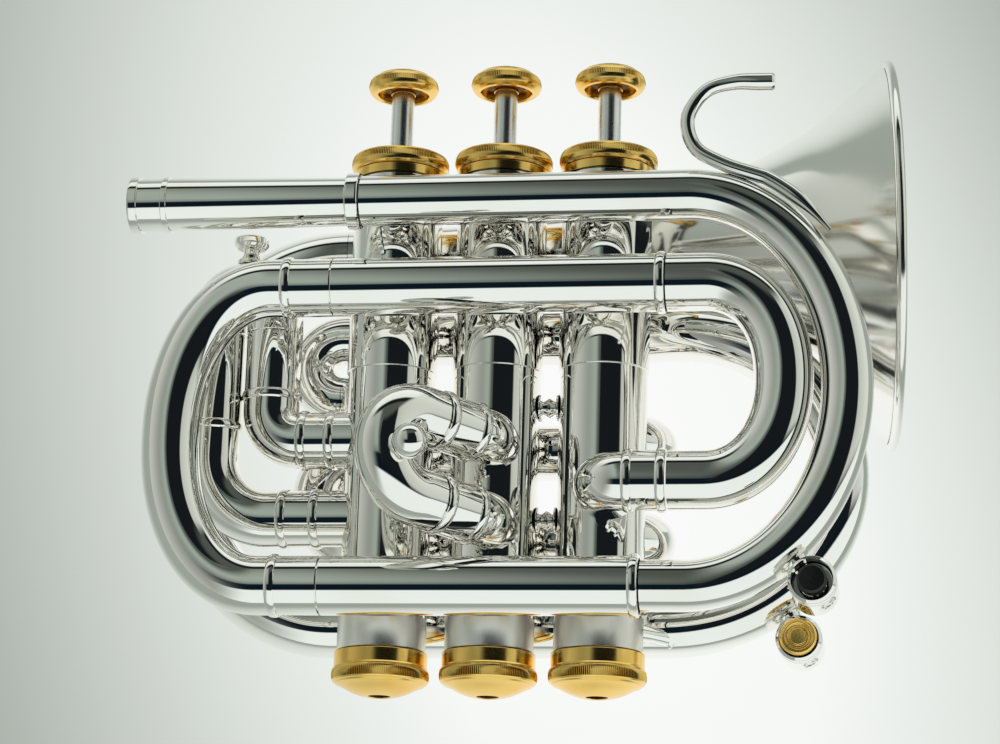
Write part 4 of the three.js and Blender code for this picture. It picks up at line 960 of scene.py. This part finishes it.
feltRing = {"radius": 4.8, "thick": 0.7, "gap": 0.05, "play": 0.1, "start": 0.4, "edge": 0.2, "sides": 48}
stem = {"radius": 2.75, "tenon": 1.6, "disc": 7.9, "discThick": 2, "plug": 5.2, "plugDepth": 2.2,
        "pistonTop": 48.3, "hubGap": 0.05, "edge": 0.2, "sides": 48}


def bulge(radius, low, high, rise, steps=8, power=0.75):
    # the rounded side of a knurled rim
    points = []
    for i in range(steps + 1):
        turn = math.pi * i / steps
        height = (low + high) / 2 - (high - low) / 2 * math.cos(turn)
        points.append((radius - rise + rise * math.sin(turn) ** power, height))
    return points


def drawCasing():
    c = casing
    corners = [(c["bore"], 0), (c["bore"], c["bottom"]), (c["endRadius"], c["bottom"]),
               (c["endRadius"], c["bottomEndY"]), (c["radius"], c["bottomEndY"]), (c["radius"], c["footY"]),
               (c["radius"], c["bandY"]), (casingSide, c["bandY"] + c["bandEdge"]),
               (casingSide, c["topEndY"]), (c["endRadius"], c["topEndY"]), (c["endRadius"], c["top"]),
               (c["bore"], c["top"]), (c["bore"], 0)]
    return turnOnLathe("casing", softened(corners, c["edge"]), c["sides"], hollow=True)


def drawTopCap():
    t = topCap
    start = (capBore, t["bottom"] + t["start"])
    under = t["top"] - t["roof"]
    corners = [start, (capBore, t["bottom"]), (t["skirt"], t["bottom"]),
               (t["skirt"], t["beadLow"] - t["beadGap"])]
    corners += bulge(t["bead"], t["beadLow"] - t["beadSink"], t["beadHigh"], t["beadRise"], t["beadSteps"])
    corners += [*t["crown"], (t["lip"], t["top"]), (t["hole"], t["top"]), (t["hole"], under),
                (capBore, under - t["roofSlope"]), start]
    cap = turnOnLathe("topCap", softened(corners, *fineEdge), t["ribs"] * 2, hollow=True)
    low, high = t["knurl"]
    knurl(cap, t["ribs"], t["beadLow"] + low, t["beadHigh"] - high, t["ribShare"])
    return cap


def drawBottomCap():
    b = bottomCap
    start = (capBore, b["top"] - b["start"])
    bead = bulge(b["bead"], b["beadLow"] + b["beadFoot"], b["beadHigh"], b["beadRise"])
    corners = [start, (capBore, b["top"]), (b["skirt"], b["top"]), (b["skirt"], b["beadHigh"] + b["beadTop"])]
    corners += [*reversed(bead), *b["ogee"], (b["lip"], b["bottom"]),
                (b["hole"], b["bottom"] + b["holeEdge"]), (b["hole"], b["bottom"] + b["floor"]),
                (b["dome"], b["domeY"] + b["floor"]),
                (capBore, b["beadLow"] + b["floor"] / 2), start]
    cap = turnOnLathe("bottomCap", softened(corners, *fineEdge), b["ribs"] * 2, hollow=True)
    low, high = b["knurl"]
    knurl(cap, b["ribs"], b["beadLow"] + low, b["beadHigh"] - high, b["ribShare"])
    return cap


def drawButton():
    f = button
    out, up = f["dishEdge"]
    corners = [(core, f["socketTop"]), (f["socket"], f["socketTop"]), (f["socket"], f["hubBottom"]),
               (f["hub"], f["hubBottom"]), (f["hub"], f["dishTop"]), (f["dish"], f["dishTop"]),
               (f["dish"], f["bottom"] + up), (f["dish"] + out, f["bottom"]), *f["side"]]
    corners += [(f["face"] + reach, height) for reach, height in f["rim"]]
    corners += [(f["face"] - f["faceEdge"], f["top"]), (core, f["top"])]
    piece = turnOnLathe("button", softened(corners, f["edge"], 2), f["ribs"] * 2)
    knurl(piece, f["ribs"], *f["knurl"], f["ribShare"])
    return piece


def drawFelt():
    f = feltRing
    top = button["dishTop"] - f["gap"]
    inner, outer, bottom = button["hub"] + f["play"], f["radius"], top - f["thick"]
    start = (inner, top - f["start"])
    corners = [start, (inner, bottom), (outer, bottom), (outer, top), (inner, top), start]
    return turnOnLathe("felt", softened(corners, f["edge"], 2), f["sides"], hollow=True)


def drawStem():
    s = stem
    bottom = s["pistonTop"] + gap
    top = bottom + s["discThick"]
    shoulder, tip = button["hubBottom"] - s["hubGap"], button["socketTop"] - gap
    corners = [(core, bottom - s["plugDepth"]), (s["plug"], bottom - s["plugDepth"]), (s["plug"], bottom),
               (s["disc"], bottom), (s["disc"], top), (s["radius"], top), (s["radius"], shoulder),
               (s["tenon"], shoulder), (s["tenon"], tip), (core, tip)]
    return turnOnLathe("stem", softened(corners, s["edge"]), s["sides"])


def satinFoot(piece):
    # the foot of a casing, below the lower sleeve, is less brightly buffed
    piece.data.materials.append(footSilver)
    toHorn = toRest.inverted()
    for face in piece.data.polygons:
        if (toHorn @ face.center).y < casing["footY"] * mm:
            face.material_index = 1


def makeValves():
    for part, draw, material, slotName, home, node in (
            ("casing", drawCasing, silverPlate, "silver_plate", "body", "valve_casing"),
            ("topCap", drawTopCap, goldPlate, "gold_trim", "body", "top_cap"),
            ("bottomCap", drawBottomCap, goldPlate, "gold_trim", "body", "bottom_cap"),
            ("button", drawButton, goldPlate, "gold_trim", "valve", "finger_button"),
            ("felt", drawFelt, buttonFelt, "felt", "valve", "button_felt"),
            ("stem", drawStem, stemSteel, "steel", "valve", "valve_stem")):
        blank = standAlong(draw(), at(0, 0, 0), at(0, 1, 0))
        for number in (1, 2, 3):
            piece = copyOf(blank, f"{part}{number}", ((number - 2) * layout["valveSpacing"], 0, 0))
            body = home if home == "body" else f"valve_{number}"
            fit(piece, material, slotName, body, f"{node}_{number}")
            if part == "casing":
                satinFoot(piece)
        bpy.data.objects.remove(blank)


def finishInsides():
    # pistons, guides and springs stay the shapes of the CAD
    for number in (1, 2, 3):
        for word, material in (("piston", valveBrass), ("valve_guide", valveBrass),
                               ("valve_spring", stemSteel)):
            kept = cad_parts[f"{word}_{number}"]
            kept.data.materials.clear()
            kept.data.materials.append(material)


makeValves()
finishInsides()
print("valves drawn")

# floor, light and camera

# the floor's painted pool of light: where its bright middle lies, how it turns and how far it reaches, the
# painted tones from white in the middle to grey at the edges, and how much of the floor is painted glow
studio = {"floorSize": 6, "floorZ": -0.0004, "paper": (0.8, 0.82, 0.8), "roughness": 0.9, "paintedGlow": 0.95,
          "paintedPool": (0.0226, -0.0044), "paintedPoolTurn": 14.2, "paintedPoolReach": (0.181, 0.334),
          "paintedPoolTones": ((0, (1, 1, 1)), (0.3, (0.95, 0.97, 0.95)), (0.5, (0.78, 0.82, 0.78)),
                    (0.7, (0.59, 0.635, 0.587)), (0.85, (0.445, 0.486, 0.442)), (1, (0.34, 0.38, 0.34)))}


def makeFloor():
    bpy.ops.object.select_all(action="DESELECT")
    bpy.ops.mesh.primitive_plane_add(size=studio["floorSize"], location=(0, 0, studio["floorZ"]))
    floor = bpy.context.object
    floor.name = "studioFloor"
    material, tree, shader = newMaterial("studioPaperPaintedGlow")
    feed(tree, shader, {"Base Color": (*studio["paper"], 1), "Roughness": studio["roughness"]})
    # painted pool of light: an emission, white in the middle and greyer outwards, stands in for the light
    # falling on the floor
    paintedPool = addNode(tree, "Mapping", {
        "Vector": addNode(tree, "TexCoord").outputs["Object"], "Location": (*studio["paintedPool"], 0),
        "Rotation": (0, 0, math.radians(studio["paintedPoolTurn"])), "Scale": (*studio["paintedPoolReach"], 1)},
        vector_type="TEXTURE")
    spread = addNode(tree, "VectorMath", {0: paintedPool.outputs["Vector"]}, operation="LENGTH")
    paintedGlow = addNode(tree, "Emission", {"Color": addRamp(tree, spread.outputs["Value"], studio["paintedPoolTones"])})
    # the painted glow is seen by the camera and in the metal's reflections, and it covers nearly all of the
    # floor's real shading and the horn's shadow
    path = addNode(tree, "LightPath").outputs
    seen = addNode(tree, "Math", {0: path["Is Camera Ray"], 1: path["Is Glossy Ray"]}, operation="MAXIMUM")
    share = addNode(tree, "Math", {0: seen.outputs["Value"], 1: studio["paintedGlow"]}, operation="MULTIPLY")
    mix = addNode(tree, "MixShader", {
        "Fac": share.outputs["Value"], 1: shader.outputs["BSDF"], 2: paintedGlow.outputs["Emission"]})
    feed(tree, tree.nodes["Material Output"], {"Surface": mix.outputs["Shader"]})
    floor.data.materials.append(material)


photoCamera = {"turnX": -15.0, "turnY": -9.3, "turnZ": -1.8, "shift": (-0.88, -10.64, -706), "lens": 109.44,
               "sensor": 36, "clipStart": 0.01}


def makeCamera():
    c = photoCamera
    toCamera = Matrix.Translation(Vector(c["shift"]) * mm)
    for axis in ("Z", "X", "Y"):
        toCamera = toCamera @ Matrix.Rotation(math.radians(c["turn" + axis]), 4, axis)
    bpy.ops.object.camera_add()
    camera = bpy.context.object
    camera.matrix_world = toRest @ toCamera.inverted()
    camera.data.lens = c["lens"]
    camera.data.sensor_width = c["sensor"]
    camera.data.sensor_fit = "HORIZONTAL"
    camera.data.clip_start = c["clipStart"]
    bpy.context.scene.camera = camera
    return camera


# What polished metal mirrors. Bands go round from below the picture's foot, past the lens, to above its head,
# and sides go round from the picture's left to its right, in degrees
roomBands = ((-180, (0.60, 0.64, 0.60)), (-138, (0.60, 0.64, 0.60)), (-125, (0.86, 0.90, 0.87)),
             (-14.5, (0.84, 0.90, 0.88)), (-12, (0.003, 0.008, 0.013)), (8.5, (0.004, 0.010, 0.016)),
             (11, (0.075, 0.095, 0.09)), (24, (0.15, 0.175, 0.155)), (74, (0.165, 0.19, 0.165)),
             (76.5, (0.01, 0.012, 0.012)), (85, (0.01, 0.012, 0.012)), (88, (0.80, 0.84, 0.80)),
             (110, (0.92, 0.95, 0.92)), (180, (0.85, 0.88, 0.85)))
roomSides = ((-180, (0.60, 0.63, 0.58)), (-110, (0.62, 0.65, 0.60)), (-75, (0.48, 0.50, 0.46)),
             (-45, (0.28, 0.30, 0.27)), (-24, (0.15, 0.165, 0.15)), (-13, (0.10, 0.115, 0.105)),
             (-11, (0.008, 0.010, 0.012)), (46, (0.008, 0.010, 0.012)), (49, (0.50, 0.53, 0.48)),
             (90, (0.68, 0.71, 0.65)), (180, (0.60, 0.63, 0.58)))
# how far the grey of the bands is lifted or sunk, by how much a mirrored direction points to the right
roomFall = {"from": -0.36, "to": -0.2, "top": 2.2, "grey": (10, 12, 74, 76),
            "shares": ((0, 1), (0.19, 0.83), (0.4, 0.6), (0.6, 0.42), (0.79, 0.27), (1, 0.21))}
roomMasks = {"left": (-0.4, -0.75), "right": (-0.21, -0.17), "foot": (-0.15, 0.05), "head": (0.86, 0.74)}


def makeRoom(camera):
    world = bpy.data.worlds.new("studioRoom")
    bpy.context.scene.world = world
    world.use_nodes = True
    tree = world.node_tree
    place = addNode(tree, "TexCoord").outputs["Generated"]
    turn = camera.matrix_world.to_3x3()

    def along(axis):
        return addNode(tree, "VectorMath", {0: place, 1: axis}, operation="DOT_PRODUCT").outputs["Value"]

    def reckon(operation, a, b):
        # a sum or the like of two sockets, or of a socket and a number
        return addNode(tree, "Math", {0: a, 1: b}, operation=operation).outputs["Value"]

    def faded(value, edges):
        # 0 at the first edge, 1 at the second
        low, high = sorted(edges)
        start, end = (0, 1) if edges[0] < edges[1] else (1, 0)
        fade = addNode(tree, "MapRange", {
            "Value": value, "From Min": low, "From Max": high, "To Min": start, "To Max": end},
            interpolation_type="SMOOTHSTEP")
        return fade.outputs["Result"]

    def rampRound(first, second, stops):
        turned = reckon("DIVIDE", reckon("ARCTAN2", first, second), 2 * math.pi)
        return addRamp(tree, reckon("ADD", turned, 0.5),
                       [(degree / 360 + 0.5, colour) for degree, colour in stops])

    right, up, near = (along(axis) for axis in turn.col)
    middle = reckon("MULTIPLY", faded(right, roomMasks["right"]),
                    reckon("MULTIPLY", faded(up, roomMasks["foot"]), faded(up, roomMasks["head"])))
    start, full, last, end = roomFall["grey"]
    black, white = (0, 0, 0), (1, 1, 1)
    onGrey = rampRound(up, near, [(-180, black), (start, black), (full, white), (last, white), (end, black),
                                  (180, black)])
    across = addNode(tree, "MapRange", {
        "Value": right, "From Min": roomFall["from"], "From Max": roomFall["to"]})
    fall = addRamp(tree, across.outputs["Result"],
                   [(share, (grey, grey, grey)) for share, grey in roomFall["shares"]])
    lift = reckon("ADD", reckon("MULTIPLY", fall, roomFall["top"]), -1)
    scale = reckon("ADD", reckon("MULTIPLY", lift, onGrey), 1)
    bands = addNode(tree, "VectorMath", {
        "Vector": rampRound(up, near, roomBands), "Scale": scale}, operation="SCALE")
    mix = addNode(tree, "Mix", {
        "Factor": reckon("MAXIMUM", middle, faded(right, roomMasks["left"])), "A": bands.outputs["Vector"],
        "B": rampRound(right, near, roomSides)}, data_type="RGBA")
    feed(tree, tree.nodes["Background"], {"Color": mix.outputs["Result"], "Strength": 1})


makeFloor()
makeRoom(makeCamera())
print("stage set")
